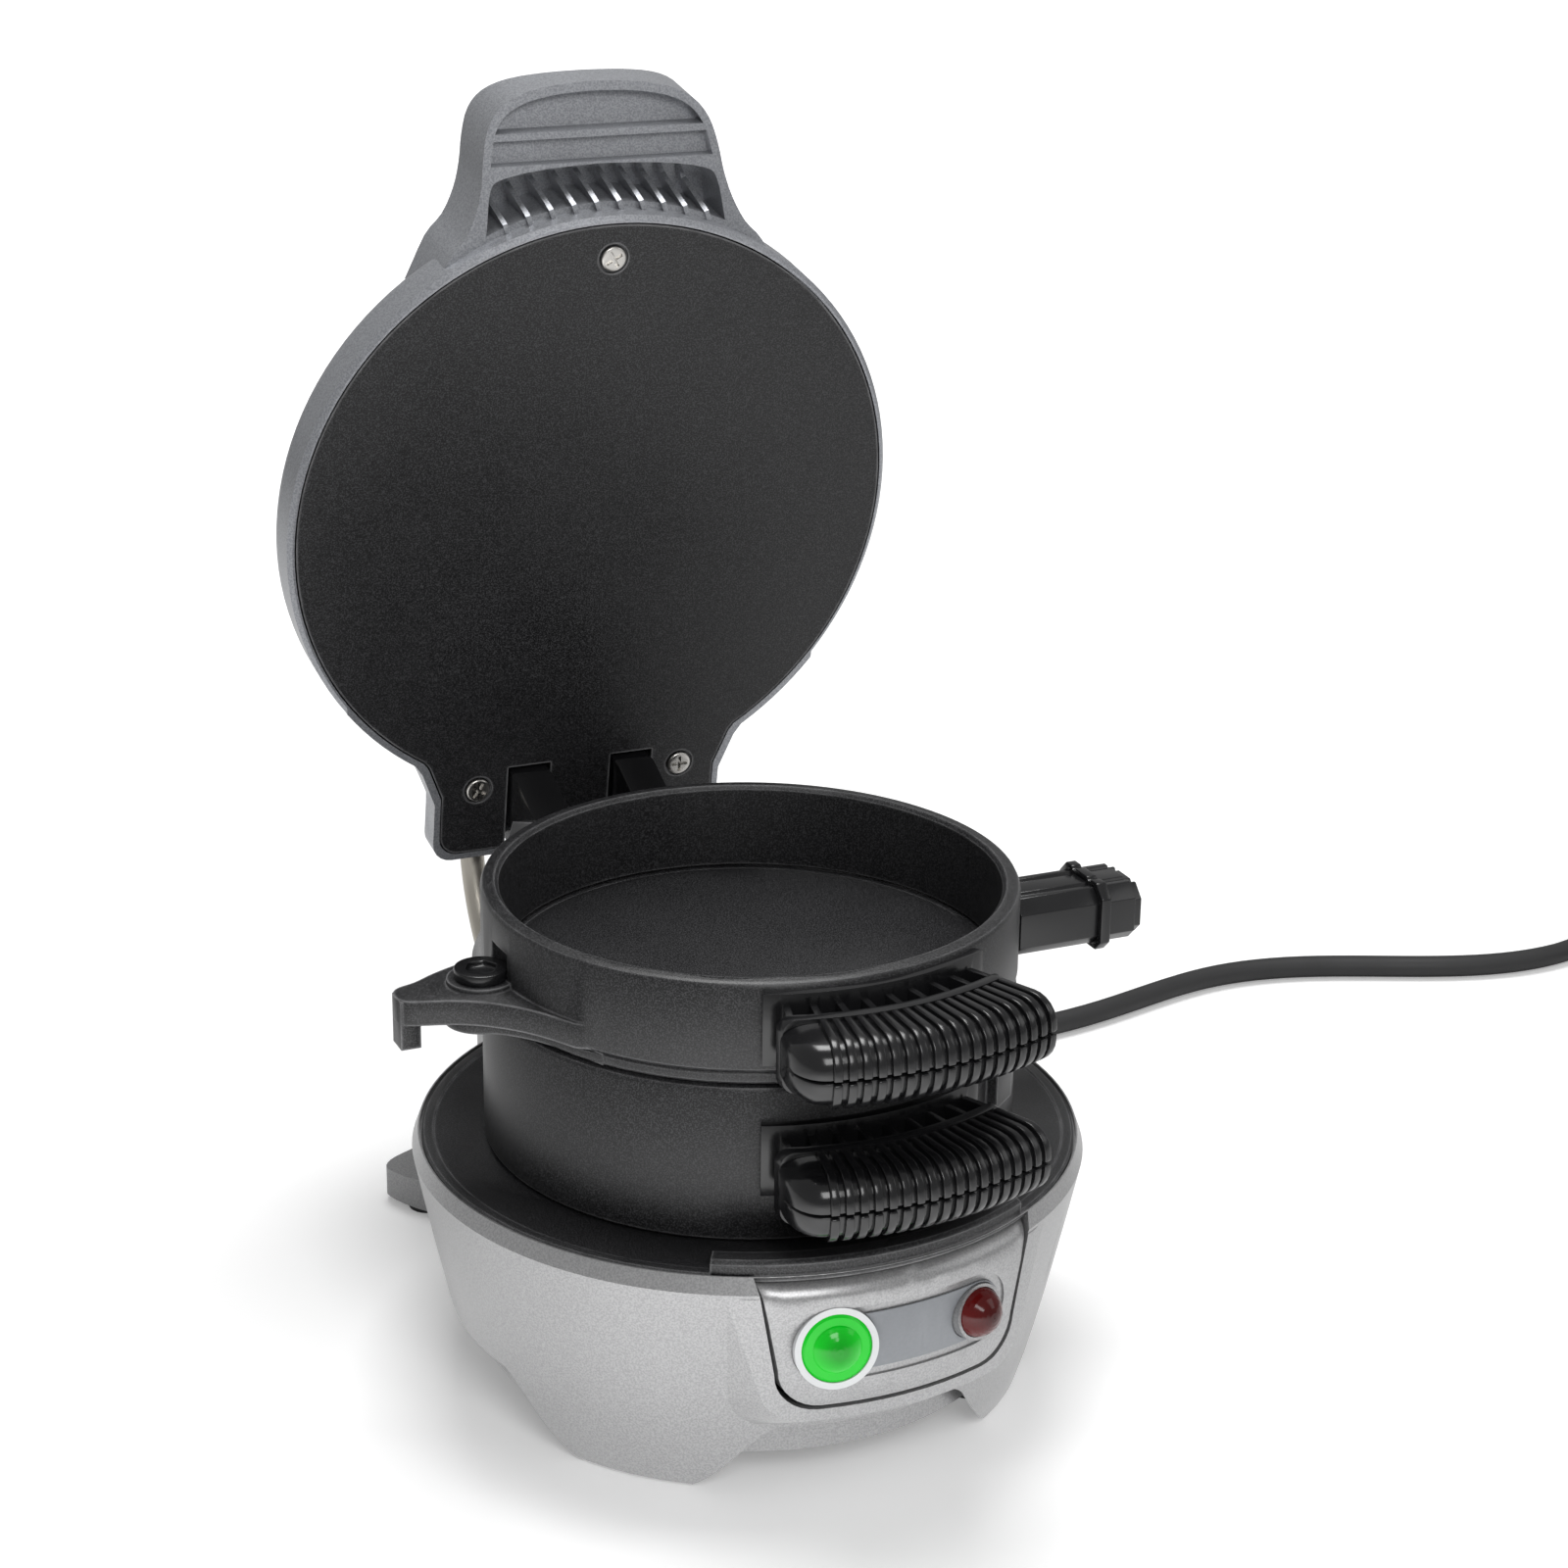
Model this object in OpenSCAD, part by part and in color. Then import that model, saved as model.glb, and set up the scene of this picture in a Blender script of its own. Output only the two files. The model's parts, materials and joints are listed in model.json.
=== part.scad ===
// Single ring sandwich maker: heated base, two stacking rings with a swing-out
// cooking plate between them, and a hinged heated lid, all turning on one rear axis.
// Millimetres. The origin is on the table, under the centre of the rings.
// +Z is up, -Y is the front with the control panel, and the hinge is at +Y.

/* [Base] */
// Diameter of the base at its widest belt
base_d = 150; // [140:1:170]
// Height of the base's rim above the table
base_h = 57; // [52:1:70]
// Diameter of the base at the table
foot_d = 125; // [118:1:134]
// Thickness of the moulded walls
wall = 2.5; // [1.6:0.1:3]
// Height of the bevel above the widest belt
bevel_h = 3.6; // [2:0.2:5]
// Rise of the cut-outs between the feet
scallop_h = 18; // [14:0.5:20]
// Turn of the panel and handles towards the right
front_turn = 4; // [0:1:8]
// Diameter of each rubber foot
foot_pad_d = 10; // [8:0.5:12]

/* [Control panel] */
// Half-width of the panel at its top
panel_top_w = 32; // [30:0.5:34]
// Half-width of the panel at its lower corners
panel_low_w = 27; // [25:0.5:29]
// Height of the panel
panel_h = 30; // [28:0.5:32]
// Width of the dark groove around the panel
panel_groove = 0.8; // [0.5:0.1:1.2]
// Diameter of the large round lamp
green_d = 15.2; // [14:0.2:17]
// Diameter of the small round lamp
red_d = 11; // [9:0.2:12]
// Distance between the lamps' centres
lamp_pitch = 33.6; // [33:0.5:36]

/* [Rings] */
// Outer diameter of both rings
ring_d = 117.8; // [112:0.2:119]
// Wall of the cast rings
ring_wall = 4; // [3:0.1:5]
// Height of the lower ring
lower_ring_h = 35.3; // [32:0.1:38]
// Height of the upper ring
upper_ring_h = 19.9; // [18:0.1:24]
// Thickness of the cooking plate
plate_t = 2.7; // [2:0.1:3]
// Clearance between the stacked pieces
stack_gap = 0.3; // [0.2:0.05:0.5]
// Distance from the rings' centre to the plate's pivot
pivot_reach = 63; // [62.6:0.1:64]

/* [Ring handles] */
// Reach of the grip beyond the ring
grip_reach = 26; // [24:0.5:28]
// Height of the grip
grip_h = 15.4; // [13:0.2:16]
// Half-angle of the grip
grip_span = 21; // [18:0.5:21.5]
// Half-angle of the bracket that carries the grip
bracket_span = 25; // [23:0.5:26]
// Number of raised ribs round the grip
grip_ribs = 18; // [12:1:20]
// Number of cross ribs in the bracket
bracket_ribs = 8; // [4:1:9]

/* [Lid] */
// Opening of the lid from closed, in degrees
lid_open = 79.5; // [76:0.5:82]
// Outer diameter of the lid shell
lid_d = 150; // [148:1:154]
// Depth of the lid's side wall
lid_side = 9; // [8:0.5:12]
// Depth of the lid at its middle
lid_depth = 19; // [17:0.5:24]
// Diameter of the lid's black plate
lid_plate_d = 146.2; // [144:0.2:147]
// Thickness of the lid's plate
lid_plate_t = 3; // [2:0.1:4]
// Half-width of the tab that carries the lid's hinge arms
tab_w = 35.5; // [34:0.5:38]
// Distance from the lid's centre to the end of the tab
tab_end = 88; // [86:0.5:92]
// Depth of the tab's sides
tab_depth = 7; // [6:0.5:9]
// Number of vanes in the lid's handle
vanes = 10; // [6:1:12]
// Gap between the closed lid and the upper ring
lid_gap = 0.4; // [0.3:0.1:0.8]

/* [Hinge] */
// Distance of the hinge axis behind the rings' centre
hinge_y = 80; // [79:0.5:82]
// Height of the hinge axis above the base's rim
hinge_rise = 30.7; // [29:0.1:33]
// Diameter of the hinge pins
pin_d = 5; // [4:0.1:5.4]
// Radial running clearance of every pin
fit = 0.05; // [0.02:0.01:0.1]
// Radius of the conduits' curve round the hinge axis
conduit_bend = 38.5; // [37.5:0.5:39]
// Outer diameter of the conduits
conduit_d = 6; // [5:0.2:6.4]
// Depth of the yoke's tongues in their sockets
tongue_depth = 11; // [10:0.5:12]

/* [Cord] */
// Diameter of the cord
cord_d = 6.2; // [5:0.1:7]
// Radius of the coil, to the middle of its turns
coil_r = 34; // [31:1:37]

/* [Hidden] */
$fn = 96;
round_fn = 48;
e = 0.01;

// Heights of the stack, from the rim up
base_r = base_d / 2;
foot_r = foot_d / 2;
belt_z = base_h - bevel_h;
rim_in = base_r - 1.7;
flange_t = 1.5;
ring_r = ring_d / 2;
bore_r = ring_r - ring_wall;
lower_z0 = base_h + stack_gap;
lower_z1 = lower_z0 + lower_ring_h;
plate_z0 = lower_z1 + stack_gap;
plate_z1 = plate_z0 + plate_t;
upper_z0 = plate_z1 + stack_gap;
upper_z1 = upper_z0 + upper_ring_h;
plate_r = ring_r - 0.9;

// Hinge axis and the closed lid's face above it
hinge_z = base_h + hinge_rise;
hinge_drop = upper_z1 + lid_gap - hinge_z;
pin_r = pin_d / 2;
boss_r = pin_r + 4;

// Places along the hinge axis, each side of the middle
arm_x0 = 8.4;
arm_x1 = 18.2;
cheek_t = 2.2;
inner_cheek_x = 19.7;
lower_lug_x = inner_cheek_x + cheek_t + 0.3;
lug_t = 2.8;
upper_lug_x = lower_lug_x + lug_t + 0.3;
outer_cheek_x = upper_lug_x + lug_t + 0.3;
outer_cheek_t = 2.5;
yoke_end_x = outer_cheek_x + outer_cheek_t;
conduit_x = 24.4;
block_half = 33.5;
horn_half = 28.6;

// Pivot of the cooking plate, on the left ear of the upper ring
pivot_a = 182;
pivot = pivot_reach * [cos(pivot_a), sin(pivot_a)];
pivot_pin_r = 3;
pivot_head_r = 5.8;
ear_t = 5.6;
hook_x = -79.5;
hook_y = -2.4;

// Heights of the walls' lower edge and of the cover inside them
edge_z = 0.8;
foot_stud_r = foot_pad_d / 2 - 2;
// Half-widths of the gaps between the feet, at the floor and at their top
gap_low = 36.8;
gap_top = 19.6;
foot_h = 1.6;
bottom_z = scallop_h + 3.5;
bottom_t = 2;
// Least clearance above the bottom cover, and the lamp board's lower edge
cover_gap = 0.15;
board_z = max(base_h - 30, bottom_z + bottom_t + cover_gap);
// Screws of the lid's plate: two in the tab and one by the handle
screw_r = 1.75;
screw_spots = [[-26.4, -70.7], [26.4, -70.7], [0, 65]];

// The control panel's face stands almost upright in the tapered wall
panel_face_low = base_r - 2;
panel_face_top = base_r - 0.5;
panel_foot_z = 20;
panel_shade_z = 47;
shoulder_r = 4.6;
lamp_z = base_h - 16.8;
lamp_tilt = 6;
// Lip round the panel: the width of its face and of the slope beyond it
lip_w = 2.8;
lip_slope = 4;
// Skirt inside the wall, seen below the gaps between the feet
skirt_r = 60;
skirt_t = 2;
skirt_z = 7.8;
// Half-angle of the ledge above the control panel
ledge_half = 29.4;
// Widths of the lamps' rims
green_rim = 1.5;
red_rim = 0.8;
dome_r = green_d / 3;
// Ring handles: the bracket's flange, from z0 to z1 about the handle's middle, and the grip on it
grip_r0 = ring_r + 11.1;
grip_r1 = ring_r + grip_reach;
bracket_r1 = grip_r0 - 2.6;
flange_z0 = -9.4;
flange_z1 = 6.9;
flange_round = 3;
grip_drop = 0.6;
grip_turn = -0.5;
grip_round = 5.2;
rib_out = 1;
rib_share = 0.6;
end_a = 5;
handle_screw_a = 12;
handle_screw_r = 1.75;
handle_screw_drop = 2.9;
parting_depth = 1.7;
parting_w = 0.7;

// Lid handle: its rim, its two hollow bands with the ridge between them, and its vanes
handle_rim = 1.9;
ridge_y = 90.4;
ridge_w = 1.4;
band_y0 = 84.6;
band_y1 = 99;
vane_t = 1.1;
vane_reach = 24.4;
vane_slant = 18;
vent_r = 76.2;
upper_grip_z = upper_z1 - 10.2;
lower_grip_z = upper_grip_z - 29.4;
handle_x0 = 62.5;
handle_x1 = 94;
handle_w = 18;
handle_z0 = plate_z0 - 3.9;
handle_z1 = plate_z1 + 6.9;

// Gland of the cord in the back of the neck: its place across and up, and its size
neck_y = 107;
neck_h = 48;
neck_floor_z = 14.5;
neck_wall = 3;
gland = [16, 22];
gland_r = cord_d / 2 + 1.4;
gland_len = 17;

// Route of the cord over the table
cord_route = [
    [16, 124, 22], [16.1, 129.5, 20.6], [18.4, 136.5, 14.6], [27, 143, 6.8], [44, 143, 3.4], [69, 134, 3.2],
    [98, 124, 3.2], [145, 120, 3.2], [180, 130, 3.2], [205, 136, 3.2], [232, 132, 3.2], [262, 118, 3.2],
    [285, 110, 3.2], [308, 109.5, 3.2], [327, 117, 3.2], [336, 122, 3.2]
];
coil_at = [364, 96];
plug_at = [397.2, 33.2];

// ---------- shared shapes ----------
function arc(c, r, a0, a1, n) = [for (i = [0:n]) let (a = a0 + (a1 - a0) * i / n)
    [c[0] + r * cos(a), c[1] + r * sin(a)]];

// Radius of the base's outer wall at height z
function shell_r(z) = foot_r + (base_r - foot_r) * pow(max(z, 0) / belt_z, 0.85);

wall_steps = 8;
wall_z = [for (i = [0:wall_steps]) edge_z + (belt_z - edge_z) * i / wall_steps];

function lerp(a, b, t) = a + (b - a) * t;
function catmull(p0, p1, p2, p3, t) = 0.5 * (2 * p1 + (p2 - p0) * t
    + (2 * p0 - 5 * p1 + 4 * p2 - p3) * t * t + (3 * p1 - p0 - 3 * p2 + p3) * t * t * t);

// Smooth line through the points p, with n steps between each two
function smooth_line(p, n) = concat([for (i = [0:len(p) - 2], k = [0:n - 1])
    catmull(p[max(i - 1, 0)], p[i], p[i + 1], p[min(i + 2, len(p) - 1)], k / n)], [p[len(p) - 1]]);

module at_sides() {
    for (side = [0, 1]) mirror([side, 0, 0]) children();
}

module x_rod(r, x0, x1, fn = round_fn) {
    translate([x0, 0, 0]) rotate([0, 90, 0]) cylinder(r = r, h = x1 - x0, $fn = fn);
}

// A YZ outline given a thickness along X
module x_plate(x0, x1) {
    translate([x0, 0, 0]) rotate([90, 0, 90]) linear_extrude(x1 - x0) children();
}

// Moves the lid's own frame (x across, y towards the handle, z out of its face) to its place
module lid_place() {
    translate([0, hinge_y, hinge_z]) rotate([180 - lid_open, 0, 0])
        translate([0, hinge_y, -hinge_drop]) children();
}

// A curved pipe round the hinge axis, between two angles counted from the rear
module hinge_arc(r, x, a0, a1) {
    translate([x, hinge_y, hinge_z]) rotate([90, 0, 90]) rotate([0, 0, a0])
        rotate_extrude(angle = a1 - a0) translate([conduit_bend, 0]) circle(r = r, $fn = 32);
}

// ---------- base ----------
module shell_band(out, inn, z0, z1) {
    steps = 6;
    zs = [for (i = [0:steps]) z0 + (z1 - z0) * i / steps];
    rotate_extrude() polygon(concat([for (z = zs) [shell_r(z) + out, z]],
        [for (i = [steps:-1:0]) [shell_r(zs[i]) - inn, zs[i]]]));
}

// Radius of the control panel's face at height z
function panel_r(z) = lerp(panel_face_low, panel_face_top,
    (z - panel_foot_z) / (panel_shade_z - panel_foot_z));

module panel_band(out, inn, z0, z1) {
    rotate_extrude() polygon([[panel_r(z0) + out, z0], [panel_r(z1) + out, z1], [panel_r(z1) - inn, z1],
        [panel_r(z0) - inn, z0]]);
}

// Half of a foot gap's edge, from the floor up to its top: an even S-curve
foot_edge = [for (i = [0:12]) let (t = i / 12) [lerp(gap_low, gap_top, t),
    scallop_h * t * t * (3 - 2 * t)]];

module foot_gap(a) {
    rotate([0, 0, a]) translate([0, -46, 0]) rotate([90, 0, 0]) linear_extrude(60)
        polygon(concat([[-gap_low - 1, -1], [gap_low + 1, -1]], foot_edge,
            [for (i = [12:-1:0]) [-foot_edge[i][0], foot_edge[i][1]]]));
}

module neck_outline(grow = 0) {
    half = [[38 - grow, 52], [block_half + 0.5 - grow, 84], [horn_half - grow, 92],
        [horn_half - grow, neck_y - 3], [horn_half - 3 - grow, neck_y - grow]];
    polygon(concat(half, [for (i = [len(half) - 1:-1:0]) [-half[i][0], half[i][1]]]));
}

// Foot that reaches out sideways behind the base and thins towards its tip
module rear_foot() intersection() {
    linear_extrude(16) polygon(concat([[20, 76]],
        smooth_line([[33, 76], [43, 79.5], [50.5, 88], [54.6, 96.5], [53.8, 100.4], [49.5, 102.6],
            [40, 103.6], [28, 104.2]], 3), [[20, 104]]));
    translate([0, 120, 0]) rotate([90, 0, 0]) linear_extrude(60)
        polygon(concat([[20, 0], [60, 0], [60, 6.6]],
            smooth_line([[56, 7.2], [50, 8], [44, 9.4], [37, 12.6], [30, 15], [20, 16]], 3)));
}

module base_shell() color("silver") difference() {
    union() {
        rotate_extrude() polygon(concat(
            [for (z = wall_z) [shell_r(z), z]],
            [[rim_in + 0.35, base_h], [rim_in, base_h], [rim_in, base_h - flange_t],
             [rim_in - 2.4, base_h - flange_t], [rim_in - 2.4, base_h - flange_t - 1.4]],
            [[shell_r(belt_z) - wall, belt_z - 1.2]],
            [for (i = [wall_steps - 1:-1:0]) [shell_r(wall_z[i]) - wall, wall_z[i]]]));
        difference() {
            union() {
                translate([0, 0, 2]) linear_extrude(neck_h - 2) neck_outline();
                translate([0, 0, foot_h]) at_sides() rear_foot();
            }
            translate([0, 0, -1]) cylinder(r1 = foot_r - 1, r2 = base_r - 1, h = base_h + 1);
            translate([0, 0, neck_floor_z]) linear_extrude(40) neck_outline(neck_wall);
        }
        for (x = [-1, 1]) foot_screw_at(x, 0) translate([0, 0, foot_h])
            cylinder(r = 6.5, h = bottom_z - foot_h);
        skirt();
        panel_lip();
    }
    difference() {
        for (a = [-92, 0, 92]) foot_gap(a);
        skirt();
    }
    panel_prism(-panel_groove);
    translate([gland[0], neck_y + 1, gland[1]]) rotate([90, 0, 0]) cylinder(r = gland_r, h = 12);
    translate([0, 0, base_h - panel_h - 20]) rear_window();
    for (x = [-1, 1]) {
        hinge_arc(conduit_d / 2 + 0.6, x * conduit_x, -120, 0);
        for (rear = [0, 1]) foot_screw_at(x, rear) translate([0, 0, -e])
            cylinder(r = foot_stud_r, h = foot_h + 1.3);
    }
}

// Skirt inside the wall, with the shelf that carries the bottom cover
module skirt() {
    rotate_extrude() polygon([[skirt_r - skirt_t, skirt_z], [skirt_r, skirt_z],
        [skirt_r, bottom_z - skirt_t], [shell_r(bottom_z) - wall / 2, bottom_z - skirt_t],
        [shell_r(bottom_z) - wall / 2, bottom_z], [skirt_r - skirt_t, bottom_z]]);
}

// Lip round the control panel, sloping back to the wall
module panel_lip() difference() {
    hull() {
        intersection() {
            panel_band(0.2, 1, scallop_h + 2, belt_z - 1);
            panel_prism(-panel_groove - lip_w);
        }
        intersection() {
            shell_band(-0.2, 1, scallop_h + 1, belt_z - 0.5);
            panel_prism(-panel_groove - lip_w - lip_slope);
        }
    }
    rotate_extrude() polygon(concat([[0, 0]], [for (z = [0:10:50]) [shell_r(z) - wall + 0.1, z]],
        [[base_r - wall, 60], [0, 60]]));
}

// Opening in the round wall where the neck joins it
module rear_window() {
    translate([-30, 55, 18]) cube([60, 25, 16]);
}

module foot_screw_at(side, rear) {
    if (rear) translate([side * 46, 92, 0]) children();
    else rotate([0, 0, side * 45]) translate([0, -foot_r + 8.5, 0]) children();
}

module bottom_cover() color("#202022") difference() {
    translate([0, 0, bottom_z]) cylinder(r = shell_r(bottom_z) - wall - 0.15, h = bottom_t);
    for (i = [-4:4]) if (i != 0) translate([i * 9 - 2, -24, bottom_z - 1])
        cube([4, 48 - abs(i) * 6, bottom_t + 2]);
    for (a = [60, 180, 300]) rotate([0, 0, a]) translate([0, 46, bottom_z - 1])
        cylinder(r = 1.7, h = bottom_t + 2);
}

module rubber_feet() color("#151515") for (side = [-1, 1], rear = [0, 1]) foot_screw_at(side, rear) {
    cylinder(r = foot_pad_d / 2, h = foot_h);
    cylinder(r = foot_stud_r, h = foot_h + 1.2);
}

module base_screws() color("#9a9a9a") for (a = [60, 180, 300]) rotate([0, 0, a]) translate([0, 46, 0]) {
    translate([0, 0, bottom_z - 1.6]) cylinder(r = 3, h = 1.6);
    translate([0, 0, bottom_z - 1.6]) cylinder(r = 1.7, h = bottom_t + 8);
}

// ---------- control panel ----------
module panel_outline(shrink) {
    top = base_h - 0.9 - shrink;
    low = base_h - 0.9 - panel_h + shrink;
    corner = 9;
    polygon(concat([[-panel_top_w + shrink, top], [-panel_low_w - 1 + shrink, low + corner]],
        arc([-panel_low_w + shrink + corner - 1, low + corner], corner, 180, 270, 8),
        arc([panel_low_w - shrink - corner + 1, low + corner], corner, 270, 360, 8),
        [[panel_top_w - shrink, top]]));
}

module panel_prism(shrink) {
    rotate([0, 0, front_turn]) translate([0, -50, 0]) rotate([90, 0, 0]) linear_extrude(50)
        panel_outline(shrink);
}

module lamp_at(side) {
    rotate([0, 0, front_turn + side * asin(lamp_pitch / 2 / panel_r(lamp_z))])
        translate([0, -panel_r(lamp_z), lamp_z]) rotate([90 - lamp_tilt, 0, 0]) children();
}

// Openings for the two lamps
module lamp_holes() {
    lamp_at(-1) cylinder(r = green_d / 2 + green_rim, h = 40, center = true);
    lamp_at(1) cylinder(r = red_d / 2 + red_rim, h = 40, center = true);
}

module pill(half, h, depth) {
    rotate([0, 0, front_turn]) translate([0, -panel_r(lamp_z) + 14, lamp_z]) rotate([90, 0, 0])
        linear_extrude(depth + 14) union() {
            square([2 * half, h], center = true);
            for (s = [-1, 1]) translate([s * half, 0]) circle(r = h / 2, $fn = round_fn);
        }
}

module panel_gasket() color("#1b1b1c") difference() {
    intersection() {
        shell_band(-wall - 0.4, 2 * wall, base_h - panel_h - 6, base_h - 10.4);
        rotate([0, 0, front_turn]) translate([0, -40, 0]) rotate([90, 0, 0])
            linear_extrude(50) panel_outline(-2.4);
        translate([0, 0, bottom_z + bottom_t + cover_gap]) cylinder(r = base_r, h = base_h);
    }
    lamp_holes();
}

module control_panel() color("#b4b4b8") difference() {
    intersection() {
        rotate_extrude() polygon(concat(
            [[panel_r(base_h - panel_h - 4), base_h - panel_h - 4],
                [panel_r(panel_shade_z), panel_shade_z]],
            arc([panel_r(panel_shade_z) - shoulder_r, base_h - 1.6 - shoulder_r], shoulder_r, 8, 80, 6),
            [[panel_r(panel_shade_z) - shoulder_r, base_h - 2 - shoulder_r]],
            [[shell_r(base_h - 10) - wall, base_h - 10],
                [shell_r(base_h - panel_h - 4) - wall, base_h - panel_h - 4]]));
        panel_prism(0);
    }
    pill_recess();
    lamp_holes();
}

// Shallow pill-shaped recess between and behind the lamps
module pill_recess() {
    difference() {
        pill(lamp_pitch / 2, 17, 6);
        panel_band(-0.6, 30, base_h - panel_h - 8, belt_z);
    }
}

module panel_plate() color("#8d8f94") difference() {
    intersection() {
        panel_band(-0.15, 0.5, base_h - panel_h - 8, belt_z);
        pill(lamp_pitch / 2, 13.4, 6);
    }
    lamp_holes();
}

module bezel(d, w) {
    difference() {
        translate([0, 0, -5]) cylinder(r = d / 2 + w - 0.1, h = 6.4);
        translate([0, 0, -6]) cylinder(r = d / 2, h = 9);
    }
}

module green_bezel() color("#e8e8e8") lamp_at(-1) bezel(green_d, green_rim);
module red_bezel() color("#c9c9c9") lamp_at(1) bezel(red_d, red_rim);

// Stepped lens: a flat outer ring and a low dome in its middle
module green_lens() color("#10b020") lamp_at(-1) rotate_extrude($fn = 64)
    polygon(concat([[0, -4], [green_d / 2 - 0.05, -4], [green_d / 2 - 0.05, 1], [green_d / 2 - 0.7, 1.6],
        [dome_r + 0.2, 1.7], [dome_r, 2]], arc([0, 2 - dome_r * 1.1], dome_r * 1.49, 49, 90, 6)));

module red_lens() color("#7a0c0c") lamp_at(1) rotate_extrude($fn = 64)
    polygon(concat([[0, -4], [red_d / 2 - 0.05, -4]], arc([0, 0.4], red_d / 2 - 0.05, 0, 90, 8)));

module lamp_board() color("#2c6a3a") rotate([0, 0, front_turn]) difference() {
    translate([-25, -shell_r(lamp_z) + 14, board_z]) cube([50, 1.6, base_h - 6 - board_z]);
    for (x = [-21, 21]) translate([x, -30, base_h - 26]) rotate([90, 0, 0]) cylinder(r = 1.6, h = 60);
}

// ---------- heating plate and inner parts ----------
module lower_plate() color("#1c1c1e") {
    rotate_extrude() polygon([[0, base_h - 6], [56, base_h - 6], [58, base_h - flange_t],
        [rim_in - 0.5, base_h - flange_t], [rim_in - 0.5, base_h - 0.4], [rim_in - 1, base_h],
        [rim_in - 3, base_h], [rim_in - 3.3, base_h - 0.3], [bore_r - 1, base_h - 0.3],
        [bore_r - 1.6, base_h + 1.2], [bore_r - 3, base_h + 1.6], [0, base_h + 1.6]]);
    // Raised ledge above the control panel
    rotate([0, 0, -90 - ledge_half + front_turn - 4]) rotate_extrude(angle = 2 * ledge_half)
        translate([rim_in - 5.5, base_h - 0.4])
            polygon([[0, 0], [5, 0], [5, 2.6], [4, 3.4], [0.6, 3.4], [0, 2.8]]);
}

module lower_element() color("#8a7d72") {
    translate([0, 0, base_h - 9]) rotate([0, 0, -60]) rotate_extrude(angle = 300)
        translate([38, 0]) circle(r = 3, $fn = 24);
    for (a = [-56, 236]) rotate([0, 0, a]) translate([38, 0, base_h - 24])
        cylinder(r = 1.6, h = 14.5, $fn = 24);
}

module thermostat() color("#d8d4c8") {
    translate([0, 0, base_h - 20]) cylinder(r = 8, h = 9);
    translate([0, 0, base_h - 11 - e]) cylinder(r = 8.6, h = 5);
    for (x = [-5, 5]) translate([x - 2.4, -0.4, base_h - 28]) cube([4.8, 0.8, 8 + e]);
}

module terminal_block() color("#e6e0cf") difference() {
    translate([-16, 24, bottom_z + bottom_t]) cube([32, 12, 12]);
    for (x = [-10, 0, 10]) translate([x, 30, bottom_z + bottom_t + 4]) cylinder(r = 2.4, h = 12, $fn = 24);
}

// ---------- hinge block, yoke and pins ----------
module pin_boss(r = boss_r) {
    translate([hinge_y, hinge_z]) circle(r = r, $fn = round_fn);
}

module hinge_block() color("#19191a") difference() {
    union() {
        difference() {
            union() {
                x_plate(-block_half, block_half) polygon([[60, neck_h], [87, neck_h], [88, neck_h + 2],
                    [88, base_h + 1], [87, base_h + 2], [60, base_h + 2]]);
                // Horn behind the pins, which takes the conduits
                x_plate(-horn_half, horn_half) polygon(concat([[80, neck_h], [neck_y, neck_h]],
                    smooth_line([[neck_y, 52], [neck_y, 57.6], [105.8, 60.8], [102.9, 64.6],
                        [97.5, 70.6], [93, 75.2]], 4),
                    [[89.5, 74.4], [88.5, base_h + 9], [87.5, base_h + 2], [80, base_h + 2]]));
            }
            translate([0, 0, -1]) cylinder(r = base_r + 0.3, h = base_h + 1);
            translate([0, 0, base_h - e]) cylinder(r = base_r - 2, h = 20);
        }
        x_plate(-arm_x0 + 0.3, arm_x0 - 0.3) difference() {
            union() {
                pin_boss();
                polygon([[76, base_h], [94, base_h], [92, base_h + 6], [hinge_y + boss_r, hinge_z],
                    [hinge_y - boss_r, hinge_z], [hinge_y - boss_r, base_h + 12]]);
            }
            translate([hinge_y, hinge_z]) circle(r = pin_r, $fn = round_fn);
        }
    }
    for (x = [-1, 1]) {
        hinge_arc(conduit_d / 2 + 0.4, x * conduit_x, -125, 0);
        translate([x * (outer_cheek_x + outer_cheek_t / 2), hinge_y, base_h + 2 - tongue_depth])
            translate([-outer_cheek_t / 2 - 0.25, -5.25, 0])
                cube([outer_cheek_t + 0.5, 10.5, tongue_depth + 1]);
    }
}

module lid_pin() color("#c8c8cc") translate([0, hinge_y, hinge_z]) {
    x_rod(pin_r, -arm_x1 - 0.3, arm_x1 + 0.3);
    for (x = [arm_x1 + 0.3 - e, -arm_x1 - 1.3 + e]) x_rod(pin_r + 1.4, x, x + 1);
}

module strain_relief() color("#151515") translate([gland[0], neck_y, gland[1]]) rotate([-90, 0, 0])
    rotate_extrude() polygon(concat([[0, -neck_wall - 2], [gland_r + 1.6, -neck_wall - 2],
        [gland_r + 1.6, -neck_wall], [gland_r, -neck_wall], [gland_r, 0], [gland_r + 1.6, 0],
        [gland_r + 1.6, 1.6], [gland_r + 0.4, 2.2]],
        // Flexible part: ribs with grooves between them
        [for (i = [0:4], k = [0, 1]) let (z = 3.6 + i * 2.7 + k * 1.2)
            [lerp(gland_r + 0.3, cord_d / 2 + 0.9, z / gland_len), z]],
        [[cord_d / 2 + 0.9, gland_len], [0, gland_len]]));

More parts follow.
